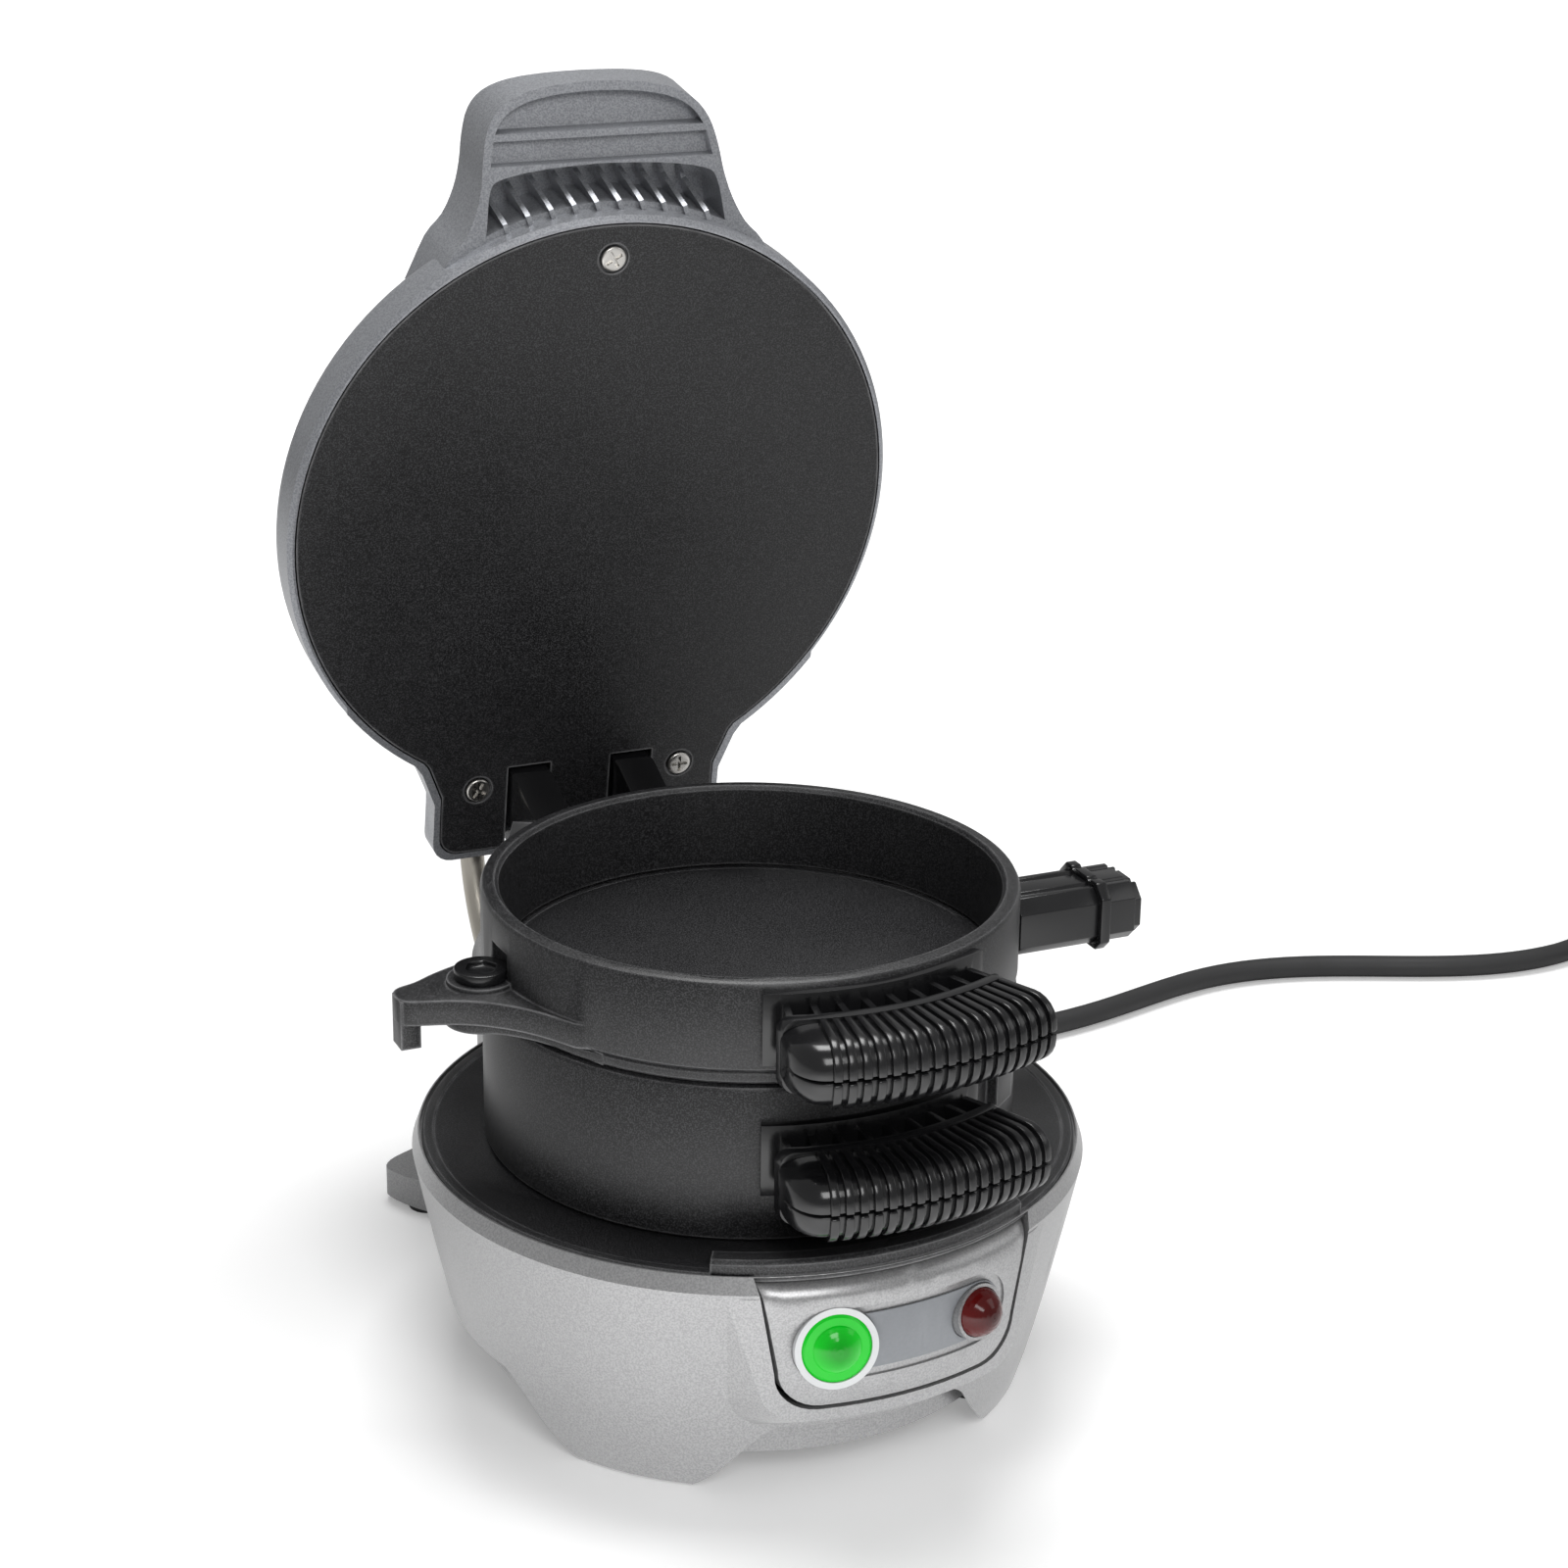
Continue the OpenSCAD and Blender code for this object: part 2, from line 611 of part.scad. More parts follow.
module ring_yoke() color("#242426") difference() {
    union() {
        // Cross bar behind the rings
        translate([-yoke_end_x, 62.2, base_h + 2.4]) cube([2 * yoke_end_x, 4.6, 9]);
        at_sides() {
            for (x = [[inner_cheek_x, cheek_t], [outer_cheek_x, outer_cheek_t]]) x_plate(x[0],
                x[0] + x[1]) {
                pin_boss(pin_r + 3.4);
                polygon([[63, base_h + 2.4], [70, base_h + 2.4], [hinge_y + 5, hinge_z - 2],
                    [hinge_y - 4, hinge_z + 3.5], [63, base_h + 11.4]]);
            }
            x_plate(outer_cheek_x, yoke_end_x) polygon([[66, base_h + 2.4],
                [hinge_y - 5, base_h + 2.4], [hinge_y - 5, base_h + 2.4 - tongue_depth],
                [hinge_y + 5, base_h + 2.4 - tongue_depth], [hinge_y + 5, hinge_z], [66, base_h + 11]]);
        }
    }
    translate([0, hinge_y, hinge_z]) x_rod(pin_r, -60, 60);
}

module ring_pins() color("#c8c8cc") translate([0, hinge_y, hinge_z]) at_sides() {
    x_rod(pin_r, inner_cheek_x, yoke_end_x + 0.2);
    translate([yoke_end_x, 0, 0]) x_rod(pin_r + 1.4, 0, 0.9);
}

// ---------- rings ----------
module ring_wall_body(z0, z1) {
    h = z1 - z0;
    translate([0, 0, z0]) rotate_extrude() polygon([[bore_r + 0.5, 0], [ring_r - 0.6, 0], [ring_r, 0.6],
        [ring_r, h - 1.4], [ring_r - 0.5, h - 0.4], [ring_r - 1.3, h], [bore_r + 0.9, h], [bore_r, h - 0.9],
        [bore_r, 0.5]]);
}

module lower_ring() color("#2b2b2e") {
    difference() {
        union() {
            ring_wall_body(lower_z0, lower_z1);
            difference() {
                at_sides() x_plate(lower_lug_x, lower_lug_x + lug_t) {
                    pin_boss();
                    polygon([[44, lower_z1 - 21], [56, lower_z1 - 18], [hinge_y, hinge_z - boss_r],
                        [hinge_y, hinge_z + boss_r], [hinge_y - 4, hinge_z + boss_r - 1],
                        [60, lower_z1], [44, lower_z1]]);
                }
                cylinder(r = ring_r - 1.5, h = 300);
            }
            // Stop lug on the right of the wall
            rotate([0, 0, -50]) translate([ring_r - 1, -4, lower_z1 - 18]) cube([3.4, 8, 15]);
        }
        translate([0, hinge_y, hinge_z]) x_rod(pin_r + fit, -60, 60);
        handle_screws_at(lower_grip_z) translate([0, 0, -20]) cylinder(r = handle_screw_r, h = 40);
    }
}

module upper_ring() color("#2b2b2e") difference() {
    union() {
        ring_wall_body(upper_z0, upper_z1);
        difference() {
            at_sides() x_plate(upper_lug_x, upper_lug_x + lug_t) {
                pin_boss();
                polygon([[40, upper_z0], [60, upper_z0], [hinge_y - 5, hinge_z - boss_r + 1.5],
                    [hinge_y, hinge_z], [hinge_y + boss_r - 1, hinge_z + 3], [hinge_y - 4, upper_z0 + 9],
                    [56, upper_z1 - 4], [40, upper_z1 - 4]]);
            }
            cylinder(r = ring_r - 1.5, h = 300);
            cylinder(r = plate_r + 1.3, h = upper_z0 - 0.1);
        }
        translate([0, 0, upper_z0]) {
            difference() {
                linear_extrude(ear_t) ear_outline();
                translate([0, 0, -1]) cylinder(r = ring_r - 1.5, h = 40);
            }
            translate([pivot[0], pivot[1], ear_t - e]) cylinder(r = 7.4, h = 1.2);
        }
        // Hook turned down at the end of the ear, the plate's stop
        translate([hook_x - 2.4, hook_y - 3, plate_z0 - 2.8]) cube([4.4, 5.6, ear_t + plate_t + 2.8]);
    }
    translate([0, hinge_y, hinge_z]) x_rod(pin_r + fit, -60, 60);
    translate([pivot[0], pivot[1], 0]) cylinder(r = pivot_pin_r, h = 300, $fn = round_fn);
    translate([pivot[0], pivot[1], upper_z0 + ear_t + 1.2]) cylinder(r = pivot_head_r + 0.3, h = 6,
        $fn = round_fn);
    handle_screws_at(upper_grip_z) translate([0, 0, -20]) cylinder(r = handle_screw_r, h = 40);
}

module ear_outline() {
    polygon(concat([[-40, 20]],
        smooth_line([[-52, 16], [-57.5, 10.6], [-64.5, 8.6], [-71, 5.8], [-76, 2.9], [-80.2, 1.4],
            [-82, -0.8], [-82, -4], [-80.4, -6.2], [-77, -7.4], [-71.5, -9.2], [-66, -12.2],
            [-60.5, -17], [-56.2, -22.4], [-52, -29.5]], 4), [[-40, -38], [-30, 0]]));
}

// ---------- ring handles ----------
module handle_screw_at(a, z) {
    rotate([0, 0, front_turn + a]) translate([0, -ring_r, z - handle_screw_drop]) rotate([90, 0, 0])
        children();
}

module handle_screws_at(z) {
    for (a = [-handle_screw_a, handle_screw_a]) handle_screw_at(a, z) children();
}

module sector(r0, r1, z0, z1, half) {
    rotate([0, 0, -90 + front_turn - half]) rotate_extrude(angle = 2 * half)
        translate([r0, z0]) square([r1 - r0, z1 - z0]);
}

// Upright flange that carries the grip, with rounded corners
module grip_flange(z) {
    half = grip_r0 * sin(grip_span + 1);
    intersection() {
        sector(bracket_r1, grip_r0 - 0.12, z + flange_z0, z + flange_z1, grip_span + 6);
        rotate([0, 0, front_turn]) rotate([90, 0, 0]) linear_extrude(90) translate([0, z])
            polygon(concat(
                arc([half - flange_round, flange_z1 - flange_round], flange_round, 0, 90, 6),
                arc([flange_round - half, flange_z1 - flange_round], flange_round, 90, 180, 6),
                arc([flange_round - half, flange_z0 + flange_round], flange_round, 180, 270, 6),
                arc([half - flange_round, flange_z0 + flange_round], flange_round, 270, 360, 6)));
    }
}

module ring_bracket(z, top) difference() {
    union() {
        sector(ring_r + 0.05, ring_r + 2.2, z - 7.2, top, bracket_span);
        grip_flange(z);
        sector(ring_r + 2, bracket_r1 + 0.1, z - 1, z + 1, grip_span);
        for (i = [0:bracket_ribs]) {
            a = (i / bracket_ribs * 2 - 1) * (grip_span - 0.5);
            rotate([0, 0, front_turn + a]) translate([-0.7, -bracket_r1 - 0.6, z - 5.7])
                cube([1.4, bracket_r1 - ring_r - 0.8, 5.7 + flange_z1 - 0.8]);
        }
    }
    handle_screws_at(z) cylinder(r = handle_screw_r, h = 30);
}

// Cross-section of the grip with a rounded nose
module grip_section(grow, inner) {
    h = grip_h / 2 - rib_out + grow;
    nose = grip_r1 - rib_out + grow;
    polygon(concat([[inner, -h + 1.2], [grip_r0 + 2.2, -h]],
        arc([nose - grip_round, -h + grip_round], grip_round, 270, 360, 6),
        arc([nose - grip_round, h - grip_round], grip_round, 0, 90, 6),
        [[grip_r0 + 2.2, h], [inner, h - 1.2]]));
}

module grip_slice(a0, a1) {
    rotate([0, 0, -90 + front_turn + a0]) rotate_extrude(angle = a1 - a0) children();
}

// Plan of the grip: its left end is a quarter of an ellipse, and its right end has a small round
module grip_plan() {
    left = front_turn + grip_turn - grip_span;
    right = front_turn + grip_turn + grip_span;
    reach = grip_r1 - grip_r0 + rib_out;
    polygon(concat([[0, 0]],
        [for (t = [0:9:90]) let (a = left + end_a * (1 - cos(t)), r = grip_r0 + reach * (0.25 + 0.75 * sin(t)))
            r * [sin(a), -cos(a)]],
        [for (a = [left + end_a + 2 : 3 : right - 3]) (grip_r1 + rib_out + 1) * [sin(a), -cos(a)]],
        [for (t = [0:15:90]) let (a = right - 1.6 * (1 - sin(t)), r = grip_r1 + rib_out - 2.2 * (1 - cos(t)))
            r * [sin(a), -cos(a)]]));
}

module ring_grip(z) {
    first = grip_turn - grip_span + end_a + 0.4;
    pitch = (2 * grip_span - end_a - 1) / (grip_ribs - 0.5);
    difference() {
        intersection() {
            translate([0, 0, z - grip_drop]) union() {
                grip_slice(grip_turn - grip_span, grip_turn + grip_span) grip_section(-0.2, grip_r0);
                for (i = [0:grip_ribs - 1]) grip_slice(first + i * pitch, first + (i + rib_share) * pitch)
                    grip_section(rib_out, grip_r0 + 0.3);
            }
            translate([0, 0, z - 20]) linear_extrude(40) grip_plan();
        }
        translate([0, 0, z - grip_drop]) grip_slice(-grip_span - 4, grip_span + 4)
            translate([grip_r1 - parting_depth, -parting_w / 2]) square([parting_depth + 2, parting_w]);
        handle_screws_at(z) cylinder(r = 1.4, h = 20);
    }
}

module handle_screws(z) handle_screws_at(z) {
    translate([0, 0, -ring_wall + 1]) cylinder(r = 1.4, h = 22 + ring_wall - 3);
}

module lower_bracket() color("#141415") ring_bracket(lower_grip_z, lower_grip_z + grip_h / 2 + 1);
module upper_bracket() color("#141415") ring_bracket(upper_grip_z, upper_grip_z + grip_h / 2 + 1);
module lower_grip() color("#0f0f10") ring_grip(lower_grip_z);
module upper_grip() color("#0f0f10") ring_grip(upper_grip_z);
module lower_handle_screws() color("#a0a0a0") handle_screws(lower_grip_z);
module upper_handle_screws() color("#a0a0a0") handle_screws(upper_grip_z);

// ---------- cooking plate ----------
module cooking_plate() color("#242427") difference() {
    union() {
        translate([0, 0, plate_z0]) rotate_extrude() polygon([[0, 0.5], [bore_r - 2, 0.5], [bore_r - 1, 0],
            [plate_r - 0.4, 0], [plate_r, 0.5], [plate_r, plate_t - 0.5], [plate_r - 0.4, plate_t],
            [bore_r - 1, plate_t], [bore_r - 1.6, plate_t - 0.3], [0, plate_t - 0.3]]);
        translate([0, 0, plate_z0]) linear_extrude(plate_t) {
            translate(pivot) circle(r = 8, $fn = round_fn);
            polygon(concat(smooth_line([[-66, -9.4], [-61.5, -11.6], [-56, -17.4], [-51.6, -25],
                [-47.4, -33.6]], 4), [[-30, 0], [-50, 24], [-57, 8]]));
            translate([40, -6]) square([38, 12]);
        }
    }
    translate([pivot[0], pivot[1], 0]) cylinder(r = pivot_pin_r + fit, h = 300, $fn = round_fn);
}

module pivot_screw() color("#101010") translate([pivot[0], pivot[1], 0]) {
    translate([0, 0, plate_z0 - 1.5]) cylinder(r = pivot_pin_r,
        h = upper_z0 + ear_t + 1.2 - plate_z0 + 1.5, $fn = round_fn);
    translate([0, 0, plate_z0 - 1.5]) cylinder(r = pivot_pin_r + 0.8, h = 1.2, $fn = round_fn);
    translate([0, 0, upper_z0 + ear_t + 1.2 - e]) difference() {
        cylinder(r = pivot_head_r, h = 2.4, $fn = round_fn);
        translate([0, 0, 1.2]) cylinder(r = 3.4, h = 2, $fn = 6);
    }
}

module handle_section(grow) {
    w = handle_w / 2 + grow;
    z0 = handle_z0 - grow;
    z1 = handle_z1 + grow;
    polygon([[-w + 2.5, z0], [w - 2.5, z0], [w, z0 + 2.5], [w, z1 - 3], [w - 3, z1],
        [4.6, z1], [4.1, z1 - 0.7], [3.2, z1 - 0.7], [2.7, z1], [-2.7, z1], [-3.2, z1 - 0.7],
        [-4.1, z1 - 0.7], [-4.6, z1], [-w + 3, z1], [-w, z1 - 3], [-w, z0 + 2.5]]);
}

module plate_handle() color("#131314") difference() {
    union() {
        translate([handle_x0, 0, 0]) rotate([90, 0, 90])
            linear_extrude(handle_x1 - 2 - handle_x0) handle_section(0);
        translate([handle_x1 - 2 - e, 0, 0]) rotate([90, 0, 90]) linear_extrude(2) handle_section(-0.8);
    }
    translate([handle_x0 - 1, -6, plate_z0]) cube([79 - handle_x0, 12, plate_t]);
}

module plate_collar() color("#0e0e0f") difference() {
    translate([82.4, 0, 0]) rotate([90, 0, 90]) linear_extrude(2.6) handle_section(1.3);
    translate([80, 0, 0]) rotate([90, 0, 90]) linear_extrude(10) handle_section(0);
}

// ---------- lid ----------
// Outline of the lid's plate and of the shell round it, in the lid's own frame
module lid_outline(r, tab, end) {
    circle(r = r, $fn = 128);
    polygon(concat([[-tab - 9, -r * 0.75], [-tab - 3.4, -r * 0.86], [-tab, -r * 0.98]],
        arc([-tab + 5, -end + 5], 5, 180, 270, 5), arc([tab - 5, -end + 5], 5, 270, 360, 5),
        [[tab, -r * 0.98], [tab + 3.4, -r * 0.86], [tab + 9, -r * 0.75], [0, 0]]));
}

// Half of the handle's outline, seen from the front, from its foot up to its middle
handle_edge = smooth_line([[43, 56], [38.2, 65.5], [34, 70], [31, 75.5], [29.3, 81], [28.3, 87],
    [26.6, 92.4], [23.2, 96.4], [17.4, 99], [9, 100.4], [0, 100.8]], 3);

module handle_outline(shrink = 0) {
    offset(delta = -shrink) polygon(concat(handle_edge,
        [for (i = [len(handle_edge) - 2:-1:0]) [-handle_edge[i][0], handle_edge[i][1]]]));
}

// The handle's side profile: it leans back from the lid's face
module handle_profile(set_back = 0) {
    x_plate(-60, 60) polygon(concat([[40, -2 - set_back], [60, -2.6 - set_back]],
        [for (p = smooth_line([[66, -3.6], [76, -6.6], [88, -11.4], [98, -16.2], [102, -18.2]], 4))
            p - [0, set_back]],
        smooth_line([[102, -24], [98.5, -27.4], [93, -28], [84, -25.6], [72, -22], [60, -19.6]], 4),
        [[40, -17]]));
}

module handle_band(y0, y1, set_back) {
    intersection() {
        translate([0, 0, -50]) linear_extrude(60) intersection() {
            handle_outline(handle_rim);
            translate([-60, y0]) square([120, y1 - y0]);
        }
        difference() {
            translate([-60, y0, -60]) cube([120, y1 - y0, 80]);
            handle_profile(set_back);
            x_plate(-61, 61) polygon([[40, -19 - set_back], [103, -40], [103, -70], [40, -70]]);
        }
    }
}

// Half of the vent's edge, from its foot up to its middle
vent_edge = smooth_line([[29.6, 66], [28.6, 73], [27.4, 79.6], [24.6, 82], [14, 83.6], [0, 84.2]], 3);

module vent_outline() {
    polygon(concat(vent_edge, [for (i = [len(vent_edge) - 2:-1:0]) [-vent_edge[i][0], vent_edge[i][1]]],
        [[0, 50]]));
}

// Back of the tab: thin at its sides, with a deeper housing for the arms and the conduits
module tab_body(half, depth, low) {
    intersection() {
        translate([0, 0, -depth]) linear_extrude(depth) intersection() {
            lid_outline(lid_d / 2, tab_w + 1.8, tab_end + 1.8);
            translate([-half, -100]) square([2 * half, 60]);
        }
        x_plate(-60, 60) polygon(concat([[-40, 1], [-40, -depth]],
            smooth_line([[-56, -depth], [-64, lerp(-depth, -low, 0.4)], [-72, -low], [-90, -low]], 4),
            [[-100, -low], [-100, 1]]));
    }
}

module lid_shell() color("silver") lid_place() difference() {
    union() {
        difference() {
            union() {
                rotate_extrude() polygon(concat([[0, 0], [lid_d / 2 - 1, 0], [lid_d / 2, -1.2]],
                    [[lid_d / 2, -lid_side]], arc([lid_d / 2 - 6, -lid_side], 6, 0, -62, 5),
                    [[lid_d / 2 - 14, -lid_side - 7.4], [lid_d / 2 - 30, -lid_depth + 1.4],
                        [0, -lid_depth]]));
                tab_body(60, lid_side + 5, tab_depth);
                tab_body(horn_half - 0.6, lid_side + 6, lid_side + 5);
                intersection() {
                    translate([0, 0, -50]) linear_extrude(60) handle_outline();
                    handle_profile();
                }
            }
            translate([0, 0, -lid_plate_t]) linear_extrude(lid_plate_t + 1)
                lid_outline(lid_plate_d / 2 + 0.4, tab_w + 0.3, tab_end + 0.3);
            translate([0, 0, -lid_side - 2]) cylinder(r = lid_d / 2 - wall - 1.5, h = lid_side + 1);
            // Two hollow bands along the handle, with a ridge between them
            handle_band(band_y0, ridge_y - ridge_w / 2, 2.6);
            handle_band(ridge_y + ridge_w / 2, band_y1, 3.6);
            intersection() {
                translate([0, 0, -45]) linear_extrude(60) difference() {
                    vent_outline();
                    circle(r = vent_r, $fn = 128);
                }
                x_plate(-60, 60) polygon([[60, 10], [100, 10], [100, -21], [88, -21], [76, -18.6], [60, -15]]);
            }
        }
        // Slanted vanes from the rim below the vent up to the back of the vent
        intersection() {
            for (i = [0:vanes - 1]) {
                x = (i / (vanes - 1) * 2 - 1) * vane_reach;
                translate([x, sqrt(vent_r * vent_r - x * x), 0]) rotate([0, 0, vane_slant])
                    translate([-vane_t / 2, 0, 0]) rotate([90, 0, 90]) linear_extrude(vane_t)
                        polygon([[-1.5, -4.4], [0.9, -4.8], [2.4, -9], [5, -16.5], [9, -19.5], [12, -19.5],
                            [12, -24], [-1.5, -20]]);
            }
            translate([0, 0, -23]) linear_extrude(23) vent_outline();
        }
    }
    for (p = screw_spots) translate([p[0], p[1], -7]) cylinder(r = screw_r, h = 8);
    for (x = [-1, 1]) {
        // Slots for the hinge arms and bores for the conduits
        translate([x * (arm_x0 + arm_x1) / 2 - 5.6, -92, -9]) cube([11.2, 27, 20]);
        translate([x * conduit_x, -hinge_y, hinge_drop]) rotate([90, 0, 90]) rotate([0, 0, -125])
            rotate_extrude(angle = 125 - 99) translate([conduit_bend, 0]) circle(r = conduit_d / 2,
                $fn = 32);
    }
}

module lid_plate() color("#1f1f21") lid_place() difference() {
    translate([0, 0, -lid_plate_t]) linear_extrude(lid_plate_t) difference() {
        lid_outline(lid_plate_d / 2, tab_w, tab_end);
        for (x = [-1, 1]) translate([x * (arm_x0 + arm_x1) / 2 - 5.5, -lid_d]) square([11, lid_d - 65.5]);
    }
    for (p = screw_spots) translate([p[0], p[1], 0]) {
        translate([0, 0, -0.7]) cylinder(r = 3.6, h = 2);
        translate([0, 0, -10]) cylinder(r = screw_r, h = 20);
    }
}

module lid_screws() color("#b0aca6") lid_place() for (p = screw_spots) translate([p[0], p[1], 0]) {
    translate([0, 0, -0.7]) cylinder(r = 3, h = 1.2);
    translate([0, 0, -6.5]) cylinder(r = screw_r, h = 6);
}

module hinge_arms() color("#161617") lid_place() difference() {
    for (x = [-1, 1]) translate([x > 0 ? arm_x0 : -arm_x1, 0, 0]) rotate([90, 0, 90])
        linear_extrude(arm_x1 - arm_x0) {
        translate([-hinge_y, hinge_drop]) circle(r = boss_r, $fn = round_fn);
        polygon([[-66.7, -8], [-66.7, 4], [-hinge_y + boss_r, hinge_drop], [-hinge_y - boss_r, hinge_drop],
            [-87, 8], [-87, -8]]);
    }
    translate([0, -hinge_y, hinge_drop]) x_rod(pin_r + fit, -60, 60);
}

module conduits() color("#c9c4bc") for (x = [-1, 1]) difference() {
    hinge_arc(conduit_d / 2, x * conduit_x, -112.5, 1);
    hinge_arc(conduit_d / 2 - 0.7, x * conduit_x, -113, 2);
}

module upper_element() color("#8a7d72") lid_place() translate([0, 0, -lid_plate_t - 3])
    rotate([0, 0, -60]) rotate_extrude(angle = 300) translate([40, 0]) circle(r = 2.9, $fn = 24);

// ---------- cord and plug ----------
function unit(v) = v / norm(v);
tube_line = smooth_line(cord_route, 2);
tube_sides = 10;

module cord_tube() color("#161616") {
    n = len(tube_line);
    dirs = [for (i = [0:n - 1]) unit(tube_line[min(i + 1, n - 1)] - tube_line[max(i - 1, 0)])];
    points = [for (i = [0:n - 1], k = [0:tube_sides - 1])
        let (side = unit(cross(dirs[i], [0, 0, 1])), lift = cross(side, dirs[i]), a = 360 * k / tube_sides)
            tube_line[i] + cord_d / 2 * (cos(a) * side + sin(a) * lift)];
    polyhedron(points, concat([[for (k = [0:tube_sides - 1]) k]],
        [for (i = [0:n - 2], k = [0:tube_sides - 1]) let (next = (k + 1) % tube_sides)
            [i * tube_sides + next, i * tube_sides + k, (i + 1) * tube_sides + k,
                (i + 1) * tube_sides + next]],
        [[for (k = [tube_sides - 1:-1:0]) (n - 1) * tube_sides + k]]));
}

module cord_coil() color("#161616") translate([coil_at[0], coil_at[1], 0]) rotate_extrude($fn = 64)
    polygon(concat(arc([coil_r + cord_d / 2, 0.1 + cord_d / 2], cord_d / 2, -90, 90, 6),
        arc([coil_r - cord_d / 2, 0.1 + cord_d / 2], cord_d / 2, 90, 270, 6)));

module plug_body() color("#141414") translate([plug_at[0], plug_at[1], 0]) {
    translate([-12, -16, 0.1]) cube([24, 32, 18]);
    translate([0, 16 - e, 9]) rotate([-90, 0, 0]) cylinder(r1 = 6, r2 = 4.2, h = 22);
}

module plug_blades() color("#c8b070") for (x = [-6.35, 6.35])
    translate([plug_at[0] + x - 0.75, plug_at[1] - 16 - 16, 9 - 3.1]) cube([1.5, 16, 6.2]);

base_shell();
bottom_cover();
rubber_feet();
panel_gasket();
control_panel();
panel_plate();
green_bezel();
green_lens();
red_bezel();
red_lens();
lamp_board();
lower_plate();
lower_element();
thermostat();
terminal_block();
hinge_block();
lid_pin();
base_screws();
strain_relief();
lid_shell();
lid_plate();
lid_screws();
hinge_arms();
conduits();
upper_element();
ring_yoke();
ring_pins();
lower_ring();
lower_bracket();
lower_grip();
lower_handle_screws();
upper_ring();
upper_bracket();
upper_grip();
upper_handle_screws();
pivot_screw();
cooking_plate();
plate_handle();
plate_collar();
cord_tube();
cord_coil();
plug_body();
plug_blades();
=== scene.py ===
import json
import math
import bpy
from mathutils import Matrix, Vector


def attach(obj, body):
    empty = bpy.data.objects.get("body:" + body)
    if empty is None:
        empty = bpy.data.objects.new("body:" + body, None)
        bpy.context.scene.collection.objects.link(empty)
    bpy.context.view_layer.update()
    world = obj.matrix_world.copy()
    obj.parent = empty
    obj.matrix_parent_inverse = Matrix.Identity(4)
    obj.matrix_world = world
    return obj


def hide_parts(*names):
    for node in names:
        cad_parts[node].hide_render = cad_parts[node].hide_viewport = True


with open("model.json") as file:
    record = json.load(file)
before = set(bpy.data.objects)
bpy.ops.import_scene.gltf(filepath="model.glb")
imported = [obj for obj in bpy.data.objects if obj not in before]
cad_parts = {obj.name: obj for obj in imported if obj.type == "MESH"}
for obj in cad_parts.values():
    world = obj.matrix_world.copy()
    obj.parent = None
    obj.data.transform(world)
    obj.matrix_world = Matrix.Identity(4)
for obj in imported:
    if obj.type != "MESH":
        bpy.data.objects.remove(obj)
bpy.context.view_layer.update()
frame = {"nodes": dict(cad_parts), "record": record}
nodes = frame["nodes"]
record = frame["record"]
slotOf = {part["node"]: part["material_slot"] for part in record["subparts"]}
bodyOf = {node: body for body, held in record["behaviour"]["bodies"].items() for node in held}
hingeAt = Vector((0, 0.08, 0.0877))  # middle of the pin that the lid and the rings turn on
print("frame loaded")


# helpers for materials

class Value:
    # wraps one output of a node, so that shader maths reads as arithmetic
    def __init__(self, graph, out):
        self.graph = graph
        self.out = out

    def maths(self, operation, *values):
        return self.graph.node("ShaderNodeMath", {"operation": operation}, values)

    def __add__(self, other):
        return self.maths("ADD", self, other)

    def __sub__(self, other):
        return self.maths("SUBTRACT", self, other)

    def __rsub__(self, other):
        return self.maths("SUBTRACT", other, self)

    def __mul__(self, other):
        return self.maths("MULTIPLY", self, other)

    def largest(self, other):
        return self.maths("MAXIMUM", self, other)

    __radd__ = __add__
    __rmul__ = __mul__


class Graph:
    def __init__(self, tree):
        self.tree = tree

    def node(self, kind, settings, inputs, out=0):
        made = self.tree.nodes.new(kind)
        for key, value in settings.items():
            setattr(made, key, value)
        pairs = inputs.items() if isinstance(inputs, dict) else enumerate(inputs)
        for key, value in pairs:
            if isinstance(value, Value):
                self.tree.links.new(value.out, made.inputs[key])
            else:
                made.inputs[key].default_value = value
        return Value(self, made.outputs[out]) if made.outputs else None

    def ray(self, kind):
        return self.node("ShaderNodeLightPath", {}, {}, f"Is {kind} Ray")


